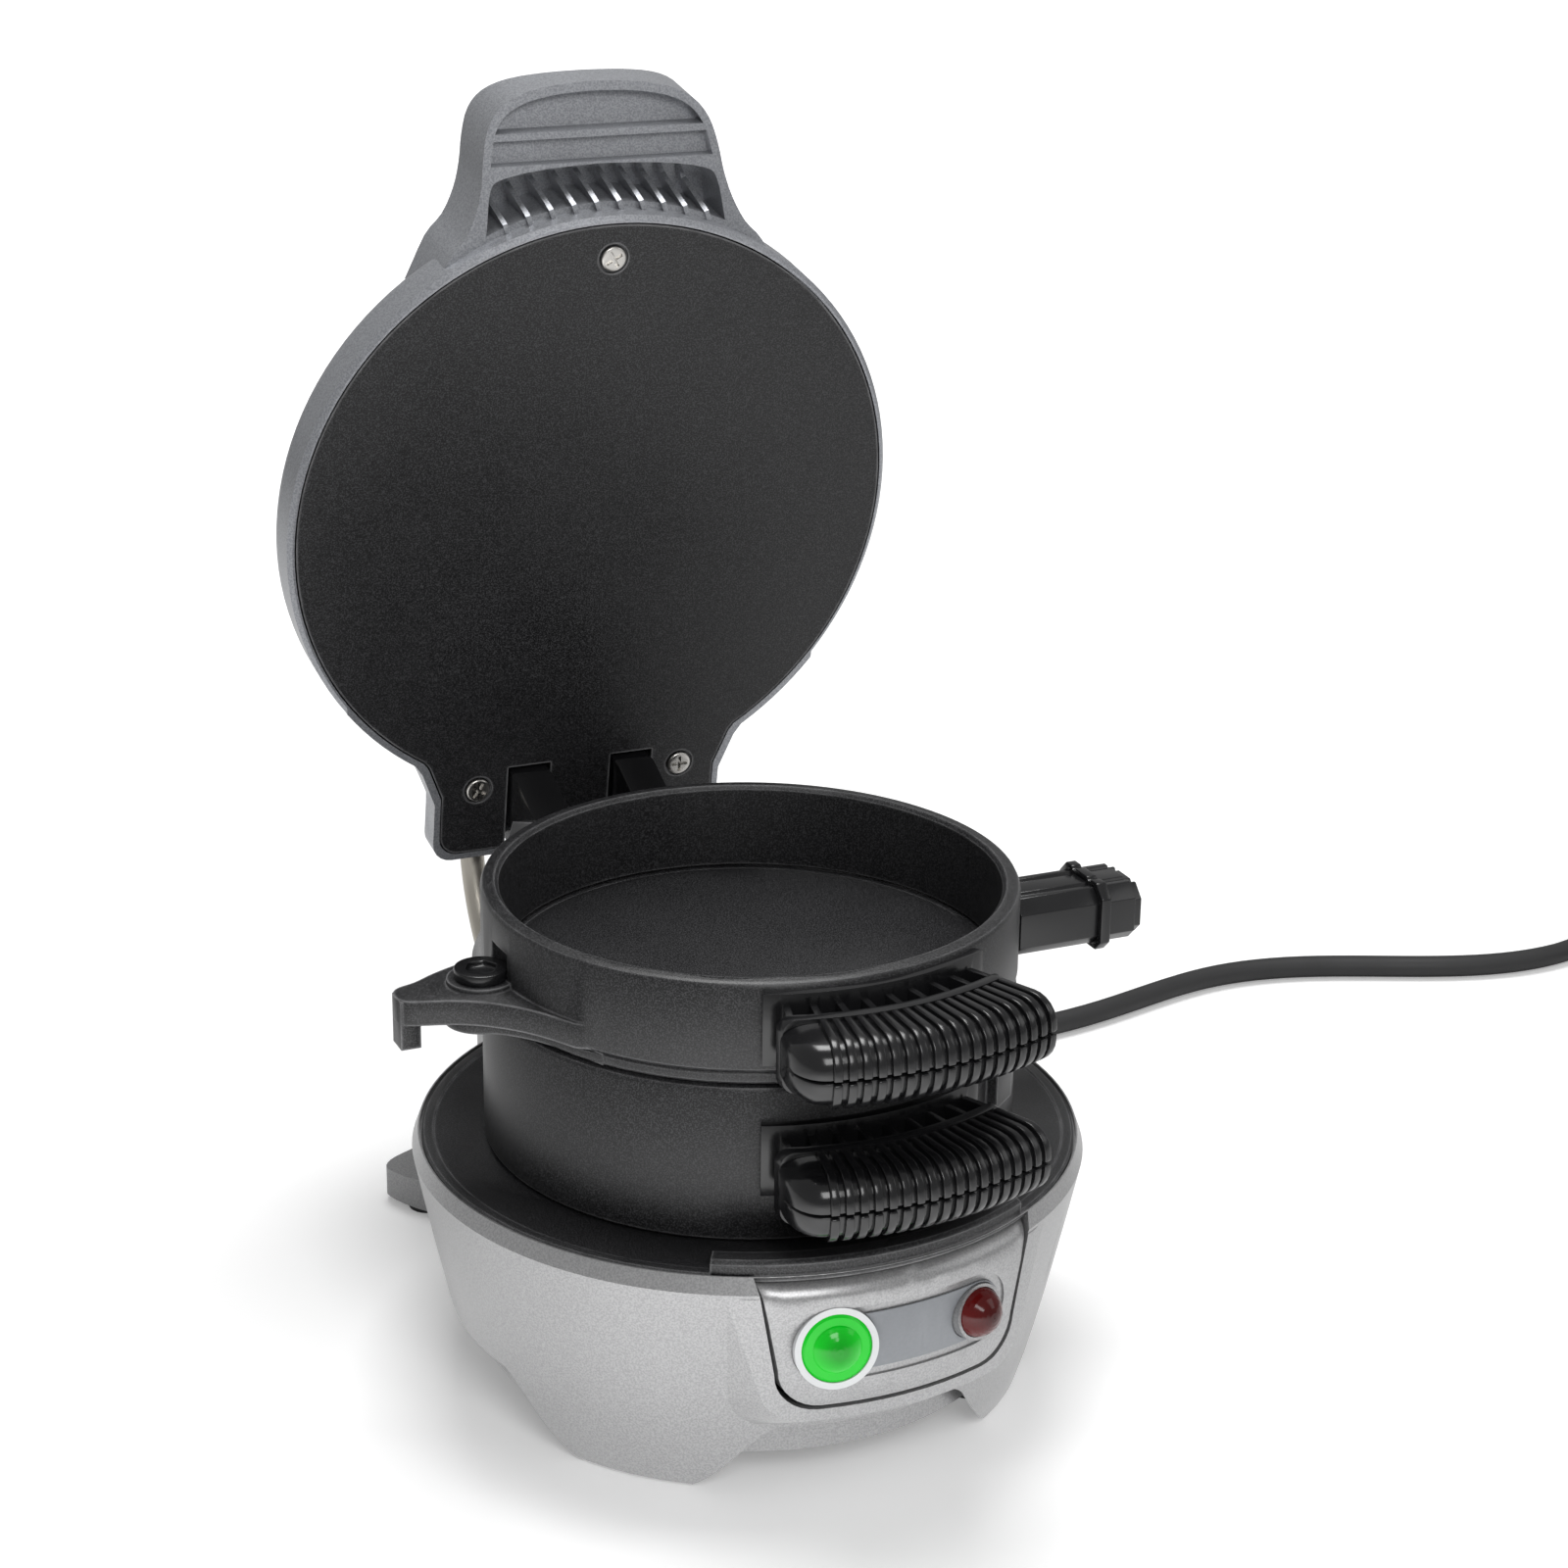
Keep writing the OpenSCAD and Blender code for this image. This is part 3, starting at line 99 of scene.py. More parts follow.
class Finish(Graph):
    def __init__(self, name, **fixed):
        self.material = bpy.data.materials.new(name)
        self.material.use_nodes = True
        super().__init__(self.material.node_tree)
        self.shader = self.tree.nodes["Principled BSDF"]
        for key, value in fixed.items():
            self.shader.inputs[key.replace("_", " ")].default_value = value
        self.place = self.node("ShaderNodeTexCoord", {}, {}, "Object")

    def noise(self, scale, detail=2.0, roughness=0.5, vector=None):
        return self.node("ShaderNodeTexNoise", {}, {
            "Vector": vector or self.place, "Scale": scale, "Detail": detail,
            "Roughness": roughness})

    def stretched(self, sizes):
        return self.node("ShaderNodeMapping", {}, {"Vector": self.place, "Scale": sizes})

    def distance(self, spot):
        return self.node("ShaderNodeVectorMath", {"operation": "DISTANCE"}, [self.place, spot], 1)

    def between(self, value, low, high, toLow=0.0, toHigh=1.0):
        return self.node("ShaderNodeMapRange", {}, {
            "Value": value, "From Min": low, "From Max": high, "To Min": toLow, "To Max": toHigh})

    def blend(self, factor, *colours):
        first, second = ((*c, 1.0) if isinstance(c, tuple) else c for c in colours)
        return self.node("ShaderNodeMix", {"data_type": "RGBA"},
                         {0: factor, 6: first, 7: second}, 2)

    def bump(self, height, distance, strength):
        return self.node("ShaderNodeBump", {}, {
            "Height": height, "Distance": distance, "Strength": strength})

    def edge(self, radius=0.0009, low=0.008, high=0.06):
        # 1 where the surface turns within radius: a bevelled normal against the plain one
        soft = self.node("ShaderNodeBevel", {"samples": 6}, {"Radius": radius})
        plain = self.node("ShaderNodeNewGeometry", {}, {}, "Normal")
        turn = self.node("ShaderNodeVectorMath", {"operation": "DOT_PRODUCT"}, [soft, plain], 1)
        return self.between(1.0 - turn, low, high)

    def link(self, **sockets):
        for key, value in sockets.items():
            self.tree.links.new(value.out, self.shader.inputs[key.replace("_", " ")])
        return self.material


# finishes

def silverPaint(name, dark, light):
    f = Finish(name, Metallic=0.55, Coat_Weight=0.15, Coat_Roughness=0.14)
    flake = f.between(f.noise(2400.0, 1.0), 0.36, 0.64)
    cloud = f.noise(22.0, 3.0)
    return f.link(Base_Color=f.blend(flake * 0.8 + cloud * 0.2, dark, light),
                  Roughness=f.between(cloud + flake * 0.15, 0.3, 0.9, 0.28, 0.38),
                  Normal=f.bump(flake, 0.00001, 0.3))


def blackPlastic():
    f = Finish("blackPlastic", Specular_IOR_Level=0.5)
    grain = f.noise(900.0, 2.0)
    cloud = f.noise(30.0, 3.0)
    return f.link(Base_Color=f.blend(cloud, (0.0045, 0.0045, 0.005), (0.011, 0.011, 0.012)),
                  Roughness=f.between(cloud, 0.3, 0.7, 0.16, 0.28),
                  Normal=f.bump(grain, 0.00003, 0.4))


def nonstick():
    # dark coating with a fine fleck, paler along its edges: partly real wear, partly a painted
    # highlight on the rims
    f = Finish("nonstick", Specular_IOR_Level=0.45)
    grain = f.noise(3000.0, 1.0)
    speck = f.between(grain, 0.46, 0.64)
    cloud = f.noise(35.0, 3.0)
    # pale edge mask: real wear mixed with a painted highlight along the edges
    edgeWearAndHighlight = f.edge() * f.between(f.noise(160.0, 3.0), 0.35, 0.6, 0.5, 1.0)
    base = f.blend(cloud, (0.004, 0.004, 0.0045), (0.008, 0.008, 0.0088))
    speckled = f.blend(speck * 0.4, base, (0.09, 0.09, 0.095))
    return f.link(Base_Color=f.blend(edgeWearAndHighlight * 0.4, speckled, (0.42, 0.42, 0.43)),
                  Roughness=f.between(cloud + speck * 0.4, 0.3, 1.0, 0.36, 0.5),
                  Normal=f.bump(grain, 0.00004, 0.7))


def steel():
    f = Finish("steel", Metallic=1.0)
    streak = f.noise(700.0, 2.0, 0.5, f.stretched((1.0, 1.0, 0.15)))
    return f.link(Base_Color=f.blend(streak, (0.42, 0.41, 0.39), (0.68, 0.66, 0.63)),
                  Roughness=f.between(streak, 0.3, 0.7, 0.22, 0.4))


def conduitMetal():
    f = Finish("conduitMetal", Metallic=0.75)
    streak = f.noise(500.0, 3.0, 0.6, f.stretched((1.0, 0.2, 0.2)))
    return f.link(Base_Color=f.blend(streak, (0.42, 0.39, 0.34), (0.58, 0.55, 0.49)),
                  Roughness=f.between(streak, 0.3, 0.7, 0.34, 0.48))


def rubber(name, low, high):
    f = Finish(name)
    grain = f.noise(1200.0, 2.0)
    cloud = f.noise(60.0, 3.0)
    return f.link(Base_Color=f.blend(cloud, (low, low, low * 1.04), (high, high, high * 1.04)),
                  Roughness=f.between(cloud, 0.3, 0.7, 0.5, 0.7),
                  Normal=f.bump(grain, 0.00004, 0.5))


def lens(name, deep, bright, spot, glow):
    # coloured plastic, darker round a spot of its own, as a moulded lens spreads light outwards
    f = Finish(name, Roughness=0.12, Specular_IOR_Level=0.35, Emission_Strength=glow)
    outward = f.between(f.distance(spot["at"]), spot["inner"], spot["outer"])
    swirl = f.noise(260.0, 2.0)
    colour = f.blend(outward * 0.8 + swirl * 0.2, deep, bright)
    return f.link(Base_Color=colour, Emission_Color=colour)


def paleRing():
    f = Finish("paleRing", Roughness=0.35)
    cloud = f.noise(90.0, 2.0)
    return f.link(Base_Color=f.blend(cloud, (0.55, 0.56, 0.57), (0.68, 0.69, 0.7)))


def greyPlate():
    f = Finish("greyPlate", Roughness=0.42)
    cloud = f.noise(40.0, 3.0)
    fine = f.noise(1500.0, 1.0)
    return f.link(Base_Color=f.blend(cloud * 0.6 + fine * 0.4,
                                     (0.16, 0.17, 0.185), (0.23, 0.24, 0.255)),
                  Normal=f.bump(fine, 0.00002, 0.4))


def plain(name, dark, light, rough, metal=0.0):
    # inner parts: a quiet two-tone finish
    f = Finish(name, Metallic=metal)
    cloud = f.noise(120.0, 3.0)
    return f.link(Base_Color=f.blend(cloud, dark, light),
                  Roughness=f.between(cloud, 0.3, 0.7, rough, rough + 0.15))


finishes = {
    "silver_shell": silverPaint("silverPaint", (0.265, 0.265, 0.268), (0.365, 0.365, 0.369)),
    "black_plastic": blackPlastic(),
    "nonstick": nonstick(),
    "steel": steel(),
    "chrome_tube": conduitMetal(),
    "rubber": rubber("rubber", 0.012, 0.022),
    "cord_rubber": rubber("cordRubber", 0.014, 0.024),
    "green_glass": lens("greenGlass", (0.0, 0.2, 0.005), (0.004, 0.45, 0.015),
                        {"at": (-0.01235, -0.0771, 0.0406), "inner": 0.0015, "outer": 0.0055},
                        glow=0.3),
    "red_glass": lens("redGlass", (0.02, 0.0006, 0.0006), (0.1, 0.003, 0.003),
                      {"at": (0.0235, -0.0764, 0.0408), "inner": 0.0, "outer": 0.006},
                      glow=0.05),
    "white_ring": paleRing(),
    "grey_plate": greyPlate(),
    "element_steel": plain("elementSteel", (0.16, 0.13, 0.11), (0.36, 0.31, 0.28), 0.35, 1.0),
    "ceramic": plain("ceramic", (0.62, 0.58, 0.5), (0.78, 0.75, 0.68), 0.5),
    "circuit_board": plain("circuitBoard", (0.02, 0.11, 0.04), (0.04, 0.17, 0.07), 0.4),
    "brass": plain("brass", (0.55, 0.38, 0.14), (0.72, 0.54, 0.24), 0.25, 1.0),
}
# a darker copy of the base's silver paint for the lid: painted shade, as the lid stands higher and
# catches less light than the base
lidShadedPaint = silverPaint("lidShadedPaint", (0.245, 0.252, 0.27), (0.39, 0.4, 0.425))
for node, slot in slotOf.items():
    for holder in nodes[node].material_slots:
        holder.material = finishes[slot]
print("finishes done")


# helpers for shapes

def only(piece):
    bpy.ops.object.select_all(action="DESELECT")
    piece.select_set(True)
    bpy.context.view_layer.objects.active = piece


def edit(piece):
    only(piece)
    bpy.ops.object.mode_set(mode="EDIT")
    bpy.ops.mesh.select_mode(type="VERT")
    bpy.ops.mesh.select_all(action="SELECT")


def finishEdit():
    bpy.ops.object.mode_set(mode="OBJECT")


def pick(piece, test):
    # in edit mode: selects the vertices for which test(point) holds
    bpy.ops.mesh.select_all(action="DESELECT")
    bpy.ops.object.mode_set(mode="OBJECT")
    for vertex in piece.data.vertices:
        vertex.select = test(vertex.co)
    bpy.ops.object.mode_set(mode="EDIT")


def near(value, goal, slack=0.00002):
    return abs(value - goal) < slack


def apply(piece, kind, **settings):
    only(piece)
    added = piece.modifiers.new(kind.lower(), kind)
    for key, value in settings.items():
        setattr(added, key, value)
    bpy.ops.object.modifier_apply(modifier=added.name)


def roundEdges(piece, width, segments, angle, **settings):
    apply(piece, "BEVEL", width=width, segments=segments, limit_method="ANGLE",
          angle_limit=math.radians(angle), **settings)


def fixPlace(piece):
    # puts the object's place, turn and size into its mesh
    only(piece)
    bpy.ops.object.transform_apply(location=True, rotation=True, scale=True)


def addDisc(radius, low, top, vertices):
    bpy.ops.object.select_all(action="DESELECT")
    bpy.ops.mesh.primitive_cylinder_add(vertices=vertices, radius=radius, depth=top - low,
                                        location=(0, 0, (top + low) / 2))
    disc = bpy.context.object
    fixPlace(disc)
    return disc


def swing(degrees, steps, centre=(0, 0, 0), axis=(0, 0, 1)):
    # in edit mode: sweeps the whole section round the axis, anticlockwise
    bpy.ops.mesh.select_all(action="SELECT")
    bpy.ops.mesh.spin(steps=steps, angle=-math.radians(degrees), center=centre, axis=axis)


def closeEnds():
    bpy.ops.mesh.select_all(action="SELECT")
    bpy.ops.mesh.remove_doubles(threshold=0.000001)
    bpy.ops.mesh.fill_holes(sides=0)
    bpy.ops.mesh.select_all(action="SELECT")
    bpy.ops.mesh.normals_make_consistent(inside=False)
    finishEdit()


def copyOf(piece, name):
    copy = bpy.data.objects.new(name, piece.data.copy())
    bpy.context.scene.collection.objects.link(copy)
    copy.matrix_world = piece.matrix_world
    return copy


def joined(pieces, name):
    only(pieces[0])
    for piece in pieces[1:]:
        piece.select_set(True)
    bpy.ops.object.join()
    pieces[0].name = name
    return pieces[0]


def dress(piece, slot, body, finish=None, crease=32.0):
    # gives a finished piece its shading, its finish and its body
    fixPlace(piece)
    bpy.ops.object.shade_smooth_by_angle(angle=math.radians(crease))
    piece.data.materials.clear()
    piece.data.materials.append(finish or finishes[slot])
    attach(piece, body)


def settle(piece, node, finish=None, crease=32.0):
    # the piece stands for the node, with the node's slot and body
    dress(piece, slotOf[node], bodyOf[node], finish, crease)
    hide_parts(node)
    return piece


softening = {"merge": 0.00001, "pairBend": 3.0, "pairSkew": 60.0, "segments": 2}


def softened(node, width, angle=32.0, flat=0.8, finish=None):
    # the node's own shape with its edges rounded over; angle and flat are degrees
    piece = copyOf(nodes[node], node + "Soft")
    edit(piece)
    bpy.ops.mesh.remove_doubles(threshold=softening["merge"])
    bpy.ops.mesh.dissolve_limited(angle_limit=math.radians(flat))
    bpy.ops.mesh.tris_convert_to_quads(face_threshold=math.radians(softening["pairBend"]),
                                       shape_threshold=math.radians(softening["pairSkew"]))
    finishEdit()
    roundEdges(piece, width, softening["segments"], angle, harden_normals=False,
               miter_outer="MITER_ARC")
    return settle(piece, node, finish, angle)


# camera

cameraAt = {"place": (-0.2704, -0.6201, 0.3886), "azimuth": -24.15, "elevation": 20.41,
            "roll": -0.85, "lens": 76.76, "sensor": 36, "nearest": 0.01}


def addCamera(v):
    a, e, r = (math.radians(v[k]) for k in ("azimuth", "elevation", "roll"))
    back = Vector((math.sin(a) * math.cos(e), -math.cos(a) * math.cos(e), math.sin(e)))
    right = Vector((math.cos(a), math.sin(a), 0))
    up = back.cross(right)
    across = right * math.cos(r) - up * math.sin(r)
    upright = right * math.sin(r) + up * math.cos(r)
    cam = bpy.data.cameras.new("camera")
    cam.lens = v["lens"]
    cam.sensor_width = v["sensor"]
    cam.clip_start = v["nearest"]
    holder = bpy.data.objects.new("camera", cam)
    bpy.context.scene.collection.objects.link(holder)
    turn = Matrix((across, upright, back)).transposed().to_4x4()
    holder.matrix_world = Matrix.Translation(v["place"]) @ turn
    bpy.context.scene.camera = holder


addCamera(cameraAt)
print("camera done")


# stage

stageShape = {
    "soft": 0.24,  # strength of the world's light
    "mirrored": 0.16,  # share of white in what glossy surfaces show of the world
    "floorSize": 12, "floorLow": -0.0002, "floorColour": (0.86, 0.86, 0.86, 1.0),
    # the floor turns white for the camera from "from" to "to" metres off the middle
    "fade": {"from": 0.2, "to": 1.3, "strength": 0.24},
    # unseen by the camera, the floor throws some light up at the front
    "patch": {"at": (-0.1, -0.22, 0), "from": 0.05, "to": 0.3, "strength": 1.5},
    "lamps": {
        "keyLamp": {"at": (-0.2, -1.15, 0.95), "size": 0.6, "watts": 8.0},
        "fillLamp": {"at": (1.0, -0.5, 0.7), "size": 0.6, "watts": 1.2},
        "topLamp": {"at": (0.1, 0.25, 1.3), "size": 0.6, "watts": 12.0},
    },
    "aim": (0, 0, 0.1),
}


def addWorld(v):
    world = bpy.data.worlds.new("world")
    bpy.context.scene.world = world
    world.use_nodes = True
    world.node_tree.nodes.clear()
    graph = Graph(world.node_tree)
    seen = graph.ray("Camera").largest(graph.ray("Transmission"))
    seen = seen.largest(graph.ray("Glossy") * v["mirrored"])
    soft, white = (graph.node("ShaderNodeBackground", {}, [(1, 1, 1, 1), strength])
                   for strength in (v["soft"], 1.0))
    shown = graph.node("ShaderNodeMixShader", {}, [seen, soft, white])
    graph.node("ShaderNodeOutputWorld", {}, [shown])


def addFloor(v):
    bpy.ops.object.select_all(action="DESELECT")
    bpy.ops.mesh.primitive_plane_add(size=v["floorSize"], location=(0, 0, v["floorLow"]))
    floor = bpy.context.object
    floor.name = "floor"
    f = Finish("floorWhite", Base_Color=v["floorColour"], Roughness=0.9, Specular_IOR_Level=0.1,
               Emission_Color=(1, 1, 1, 1))
    fade, patch = v["fade"], v["patch"]
    white = f.between(f.distance((0, 0, 0)), fade["from"], fade["to"], fade["strength"], 1.0)
    thrown = f.between(f.distance(patch["at"]), patch["from"], patch["to"], patch["strength"], 0.0)
    seen = f.ray("Camera")
    f.link(Emission_Strength=seen * white + (1.0 - seen) * thrown)
    floor.data.materials.append(f.material)


def addLamps(v):
    for name, spot in v["lamps"].items():
        lamp = bpy.data.lights.new(name, "AREA")
        lamp.size = spot["size"]
        lamp.energy = spot["watts"]
        holder = bpy.data.objects.new(name, lamp)
        bpy.context.scene.collection.objects.link(holder)
        holder.location = spot["at"]
        aim = Vector(v["aim"]) - Vector(spot["at"])
        holder.rotation_euler = aim.to_track_quat("-Z", "Y").to_euler()


bpy.context.scene.view_settings.view_transform = "Standard"
addWorld(stageShape)
addFloor(stageShape)
addLamps(stageShape)
print("stage done")


# softened edges

softEdges = {
    "base_shell": 0.0006, "lid_shell": 0.0006, "control_panel": 0.0007, "upper_ring": 0.0006,
    "lower_ring": 0.0006, "upper_bracket": 0.0004, "lower_bracket": 0.0004,
    "plate_handle": 0.0007, "plate_collar": 0.0004, "hinge_arms": 0.0006, "hinge_block": 0.0007,
    "ring_yoke": 0.0006, "plug_body": 0.0032, "plug_blades": 0.0003, "panel_plate": 0.0003,
    "lower_plate": 0.0004, "pivot_screw": 0.0006,
}
ownWays = {
    "base_shell": {"angle": 14.0},
    # the lid takes the darker copy of the silver paint, a painted shade
    "lid_shell": {"angle": 24.0, "flat": 0.05, "finish": lidShadedPaint},
    "control_panel": {"flat": 0.05},
}
soft = {node: softened(node, width, **ownWays.get(node, {}))
        for node, width in softEdges.items()}
for node in ("lid_shell", "base_shell"):
    # the widest faces lead the shading, so that highlights run smoothly round the shell
    apply(soft[node], "WEIGHTED_NORMAL", mode="FACE_AREA", weight=100, keep_sharp=True)
print("edges done")


# cooking plate

plateShape = {"radius": 0.0538, "low": 0.09288, "top": 0.09562, "sides": 128,
              "floorEdge": 0.0002, "edge": 0.0003}


def addCookingPlate(v):
    # the cast floor lies level with the rim inside the ring
    floor = addDisc(v["radius"], v["low"], v["top"], v["sides"])
    roundEdges(floor, v["floorEdge"], 2, 30)
    plate = softened("cooking_plate", v["edge"])
    apply(plate, "BOOLEAN", object=floor, operation="UNION", solver="EXACT")
    bpy.data.objects.remove(floor)
    settle(plate, "cooking_plate")


addCookingPlate(plateShape)
print("cooking plate done")


# ring grips

gripShape = {
    "inner": 0.07, "outer": 0.0839, "half": 0.0067, "corner": 0.0052,  # section of the core
    "notch": 0.0017, "gap": 0.00035, "cornerSteps": 6,  # notch: parting line in the outer side
    "start": -102.5, "turn": 35.4, "steps": 26, "coreEdge": 0.0009,
    "nose": 5.0, "noseSteps": 9, "noseEnd": (0.25, 0.5),  # noseEnd: depth and height at the tip
    "ribs": 18, "first": 0.4, "pitch": 2.057, "share": 0.6, "grow": 0.001, "sink": 0.0003,
    "ribEdge": 0.00045,
    "heights": {"upper_grip": 0.105, "lower_grip": 0.0756},
}


def gripSection(v, grow, inner):
    # one rounded section beside the X axis, with the parting line's notch in its outer side
    outer = v["outer"] + grow
    half = v["half"] + grow
    bpy.ops.object.select_all(action="DESELECT")
    bpy.ops.mesh.primitive_plane_add(size=1, location=((inner + outer) / 2, 0, 0),
                                     rotation=(math.pi / 2, 0, 0))
    piece = bpy.context.object
    piece.scale = (outer - inner, 2 * half, 1)
    fixPlace(piece)
    edit(piece)
    pick(piece, lambda p: near(p.x, outer))
    bpy.ops.mesh.subdivide(number_cuts=3)
    pick(piece, lambda p: near(p.x, outer) and near(abs(p.z), half / 2))
    bpy.ops.transform.resize(value=(1, 1, 2 * v["gap"] / half), center_override=(outer, 0, 0))
    pick(piece, lambda p: near(p.x, outer) and near(p.z, 0))
    bpy.ops.transform.translate(value=(-v["notch"] - grow, 0, 0))
    pick(piece, lambda p: near(p.x, outer) and near(abs(p.z), half))
    bpy.ops.mesh.bevel(offset=v["corner"] + grow, segments=v["cornerSteps"], affect="VERTICES")
    bpy.ops.mesh.select_all(action="SELECT")
    bpy.ops.mesh.delete(type="ONLY_FACE")
    return piece


def gripCore(v):
    piece = gripSection(v, 0.0, v["inner"])
    swing(v["turn"], v["steps"])
    # rounded nose beyond the first section
    pick(piece, lambda p: near(p.y, 0, 0.000001))
    deep, high = v["noseEnd"]
    before = (1.0, 1.0, 0.0)
    for i in range(1, v["noseSteps"] + 1):
        t = math.pi / 2 * (1 - i / v["noseSteps"])
        now = (deep + (1 - deep) * math.sin(t), high + (1 - high) * math.sin(t),
               v["nose"] * math.cos(t))
        bpy.ops.mesh.extrude_region_move()
        back = math.radians(before[2] - now[2]) * v["outer"]
        bpy.ops.transform.translate(value=(0, back, 0))
        bpy.ops.transform.resize(value=(now[0] / before[0], 1, now[1] / before[1]),
                                 center_override=(v["inner"], 0, 0))
        before = now
    closeEnds()
    roundEdges(piece, v["coreEdge"], 3, 60)
    return piece


def gripRib(v):
    piece = gripSection(v, v["grow"], v["inner"] + v["sink"])
    swing(v["pitch"] * v["share"], 1)
    closeEnds()
    roundEdges(piece, v["ribEdge"], 3, 50)
    return piece


def addGrips(v):
    rib = gripRib(v)
    parts = [gripCore(v)]
    for i in range(v["ribs"]):
        one = copyOf(rib, "gripRib")
        one.rotation_euler.z = math.radians(v["first"] + i * v["pitch"])
        parts.append(one)
    bpy.data.objects.remove(rib)
    for one in parts:
        fixPlace(one)
    first = joined(parts, "upperGripShape")
    second = copyOf(first, "lowerGripShape")
    for piece, (node, height) in zip((first, second), v["heights"].items()):
        piece.rotation_euler.z = math.radians(v["start"])
        piece.location.z = height
        settle(piece, node)


addGrips(gripShape)
print("grips done")


# lid screws

screwShape = {
    "head": 0.003, "low": -0.0007, "top": 0.0005, "shank": 0.00175, "end": -0.0065,
    "sides": 40, "edge": 0.0005, "slot": 0.0008, "reach": 0.0021, "depth": 0.0008, "cross": 30.0,
    "spots": ((-0.0264, -0.0707), (0.0264, -0.0707), (0, 0.065)), "spread": 40,
    "lidTurn": 100.5, "lidPlate": (0, 0.08, -0.0285),  # from the pin to the lid plate's middle
}


def addScrews(v):
    # cross-headed screws of the lid's plate
    screw = addDisc(v["head"], v["low"], v["top"], v["sides"])
    edit(screw)
    pick(screw, lambda p: near(p.z, v["low"]))
    bpy.ops.mesh.inset(thickness=v["head"] - v["shank"])
    bpy.ops.mesh.extrude_region_move()
    bpy.ops.transform.translate(value=(0, 0, v["end"] - v["low"]))
    finishEdit()
    roundEdges(screw, v["edge"], 4, 40)
    for turn in (0.0, 90.0):
        bpy.ops.object.select_all(action="DESELECT")
        bpy.ops.mesh.primitive_cube_add(size=1, location=(0, 0, v["top"]),
                                        rotation=(0, 0, math.radians(turn + v["cross"])))
        cutter = bpy.context.object
        cutter.scale = (2 * v["reach"], v["slot"], 2 * v["depth"])
        apply(screw, "BOOLEAN", object=cutter, operation="DIFFERENCE")
        bpy.data.objects.remove(cutter)
    lid = (Matrix.Translation(hingeAt) @ Matrix.Rotation(math.radians(v["lidTurn"]), 4, "X")
           @ Matrix.Translation(v["lidPlate"]))
    parts = []
    for x, y in v["spots"]:
        one = copyOf(screw, "lidScrew")
        turned = Matrix.Rotation(x * v["spread"], 4, "Z")  # no two crosses stand the same way
        one.matrix_world = lid @ Matrix.Translation((x, y, 0)) @ turned
        fixPlace(one)
        parts.append(one)
    bpy.data.objects.remove(screw)
    settle(joined(parts, "lidScrewHeads"), "lid_screws")


addScrews(screwShape)
print("screws done")


# conduit leads

leadShape = {"thick": 0.0038, "bend": 0.0385, "aside": 0.0244, "start": -110.0, "end": -28.0,
             "steps": 32, "sides": 20, "edge": 0.0005}


def addLeads(v):
    # sheathed leads that stay with the base and slide in the conduits: they are seen below
    # the conduits when the lid is down
    at = math.radians(v["start"])
    spot = hingeAt + Vector((v["aside"], v["bend"] * math.cos(at), v["bend"] * math.sin(at)))
    bpy.ops.object.select_all(action="DESELECT")
    bpy.ops.mesh.primitive_circle_add(vertices=v["sides"], radius=v["thick"] / 2, location=spot,
                                      rotation=(at, 0, 0))
    right = bpy.context.object
    fixPlace(right)
    edit(right)
    swing(v["end"] - v["start"], v["steps"], hingeAt, (1, 0, 0))
    closeEnds()
    roundEdges(right, v["edge"], 2, 60)
    left = copyOf(right, "leftLead")
    left.location.x = -2 * v["aside"]
    fixPlace(left)
    dress(joined([right, left], "conduitLeads"), "rubber", "base", crease=40.0)


addLeads(leadShape)
print("leads done")


# cord

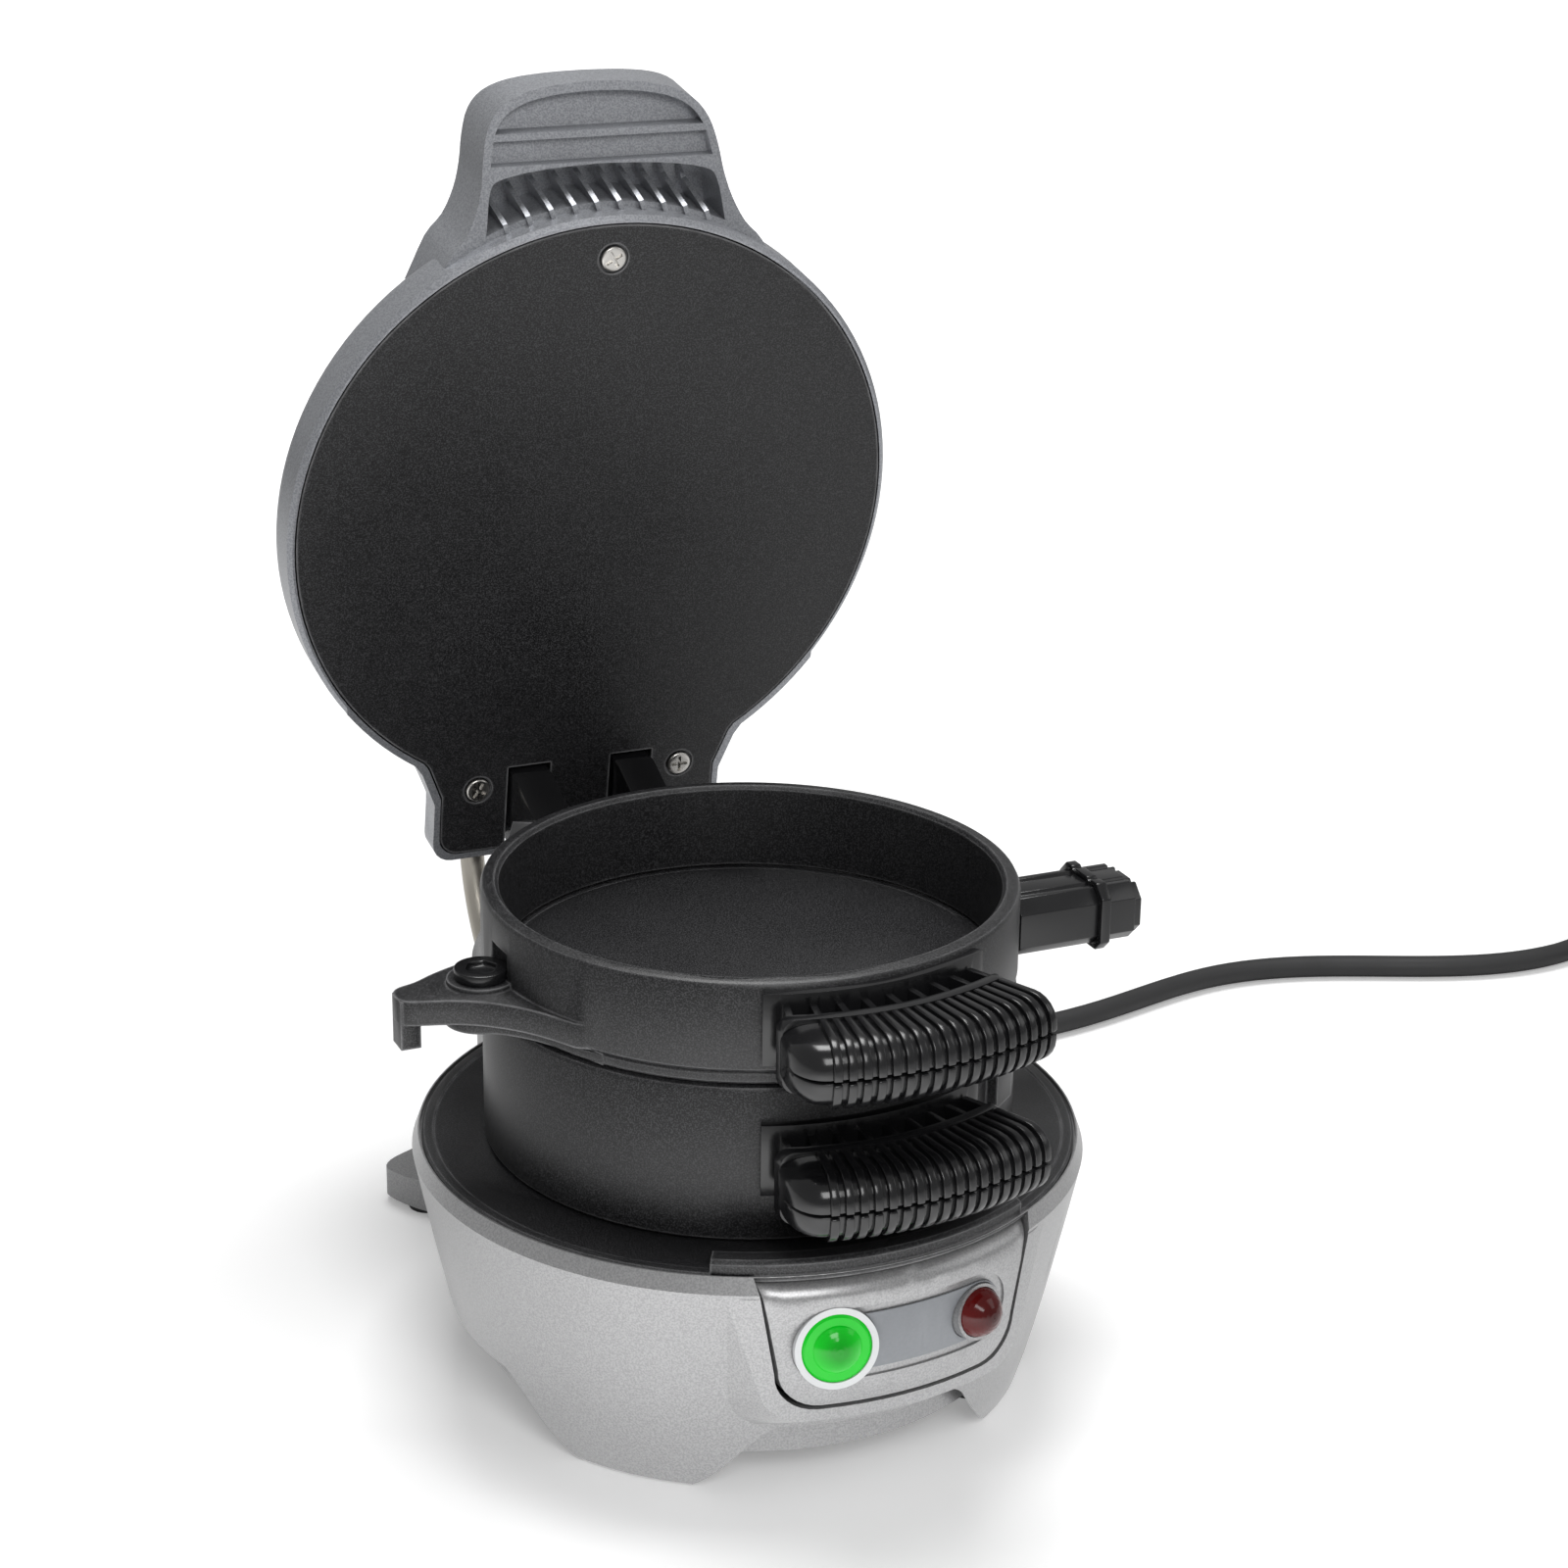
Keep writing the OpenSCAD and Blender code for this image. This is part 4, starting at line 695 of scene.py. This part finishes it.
cordShape = {
    # millimetres and degrees
    "route": [(16, 124, 22), (16.1, 129.5, 20.6), (18.4, 136.5, 14.6), (27, 143, 6.8),
              (44, 143, 3.4), (69, 134, 3.2), (98, 124, 3.2), (145, 120, 3.2), (180, 130, 3.2),
              (205, 136, 3.2), (232, 132, 3.2), (262, 118, 3.2), (285, 110, 3.2),
              (308, 109.5, 3.2), (327, 117, 3.2)],
    "coilAt": (364.0, 96.0), "coilFrom": 125, "coilEnd": 845, "coilStep": 13,
    "wide": 37.2, "narrow": 30.9, "top": 34.0,  # radius of the first, second and last turn
    "low": 3.2, "over": 9.55, "nested": 8.85,  # height of the first, last and resting turn
    # where each change of the winding starts, and over how many degrees it runs
    "inward": (300, 60), "outward": (640, 30), "climb": (590, 60), "dip": (735, 25),
    "leave": (800, 30),
    "thick": 6.2, "plugEnd": (397.2, 71.2, 9.1), "inPlug": 6,
    "toPlug": ((85, 0.1), (79, 0.0)),  # y, and height over the last turn
    "lineSteps": 6, "roundSteps": 4,
}


def passed(turned, change):
    # share of a change that lies behind, eased at both ends
    start, length = change
    t = min(max((turned - start) / length, 0.0), 1.0)
    return t * t * (3 - 2 * t)


def coilPoint(v, turned):
    # turned runs in degrees along the winding, clockwise from above
    radius = v["wide"] + (v["narrow"] - v["wide"]) * passed(turned, v["inward"])
    radius += (v["top"] - v["narrow"]) * passed(turned, v["outward"])
    height = v["low"] + (v["over"] - v["low"]) * passed(turned, v["climb"])
    nested = passed(turned, v["dip"]) - passed(turned, v["leave"])
    height -= (v["over"] - v["nested"]) * nested
    angle = math.radians(v["coilFrom"] - turned)
    x, y = v["coilAt"]
    return (x + radius * math.cos(angle), y + radius * math.sin(angle), height)


def cordPoints(v):
    coil = [coilPoint(v, turned) for turned in range(0, v["coilEnd"] + 1, v["coilStep"])]
    x, y, z = v["plugEnd"]
    plug = [(x, to, v["over"] + up) for to, up in v["toPlug"]]
    plug += [(x, y, z), (x, y - v["inPlug"], z)]
    return [Vector(p) / 1000 for p in v["route"] + coil + plug]


def addCord(v):
    points = cordPoints(v)
    curve = bpy.data.curves.new("cordLine", "CURVE")
    curve.dimensions = "3D"
    curve.resolution_u = v["lineSteps"]
    curve.bevel_depth = v["thick"] / 2000
    curve.bevel_resolution = v["roundSteps"]
    curve.use_fill_caps = True
    spline = curve.splines.new("NURBS")
    spline.points.add(len(points) - 1)
    for spot, p in zip(spline.points, points):
        spot.co = (*p, 1)
    spline.order_u = 4
    spline.use_endpoint_u = True
    cord = bpy.data.objects.new("cord", curve)
    bpy.context.scene.collection.objects.link(cord)
    cord.data.materials.append(finishes["cord_rubber"])
    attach(cord, "base")
    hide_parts("cord_tube", "cord_coil")


addCord(cordShape)
print("cord done")
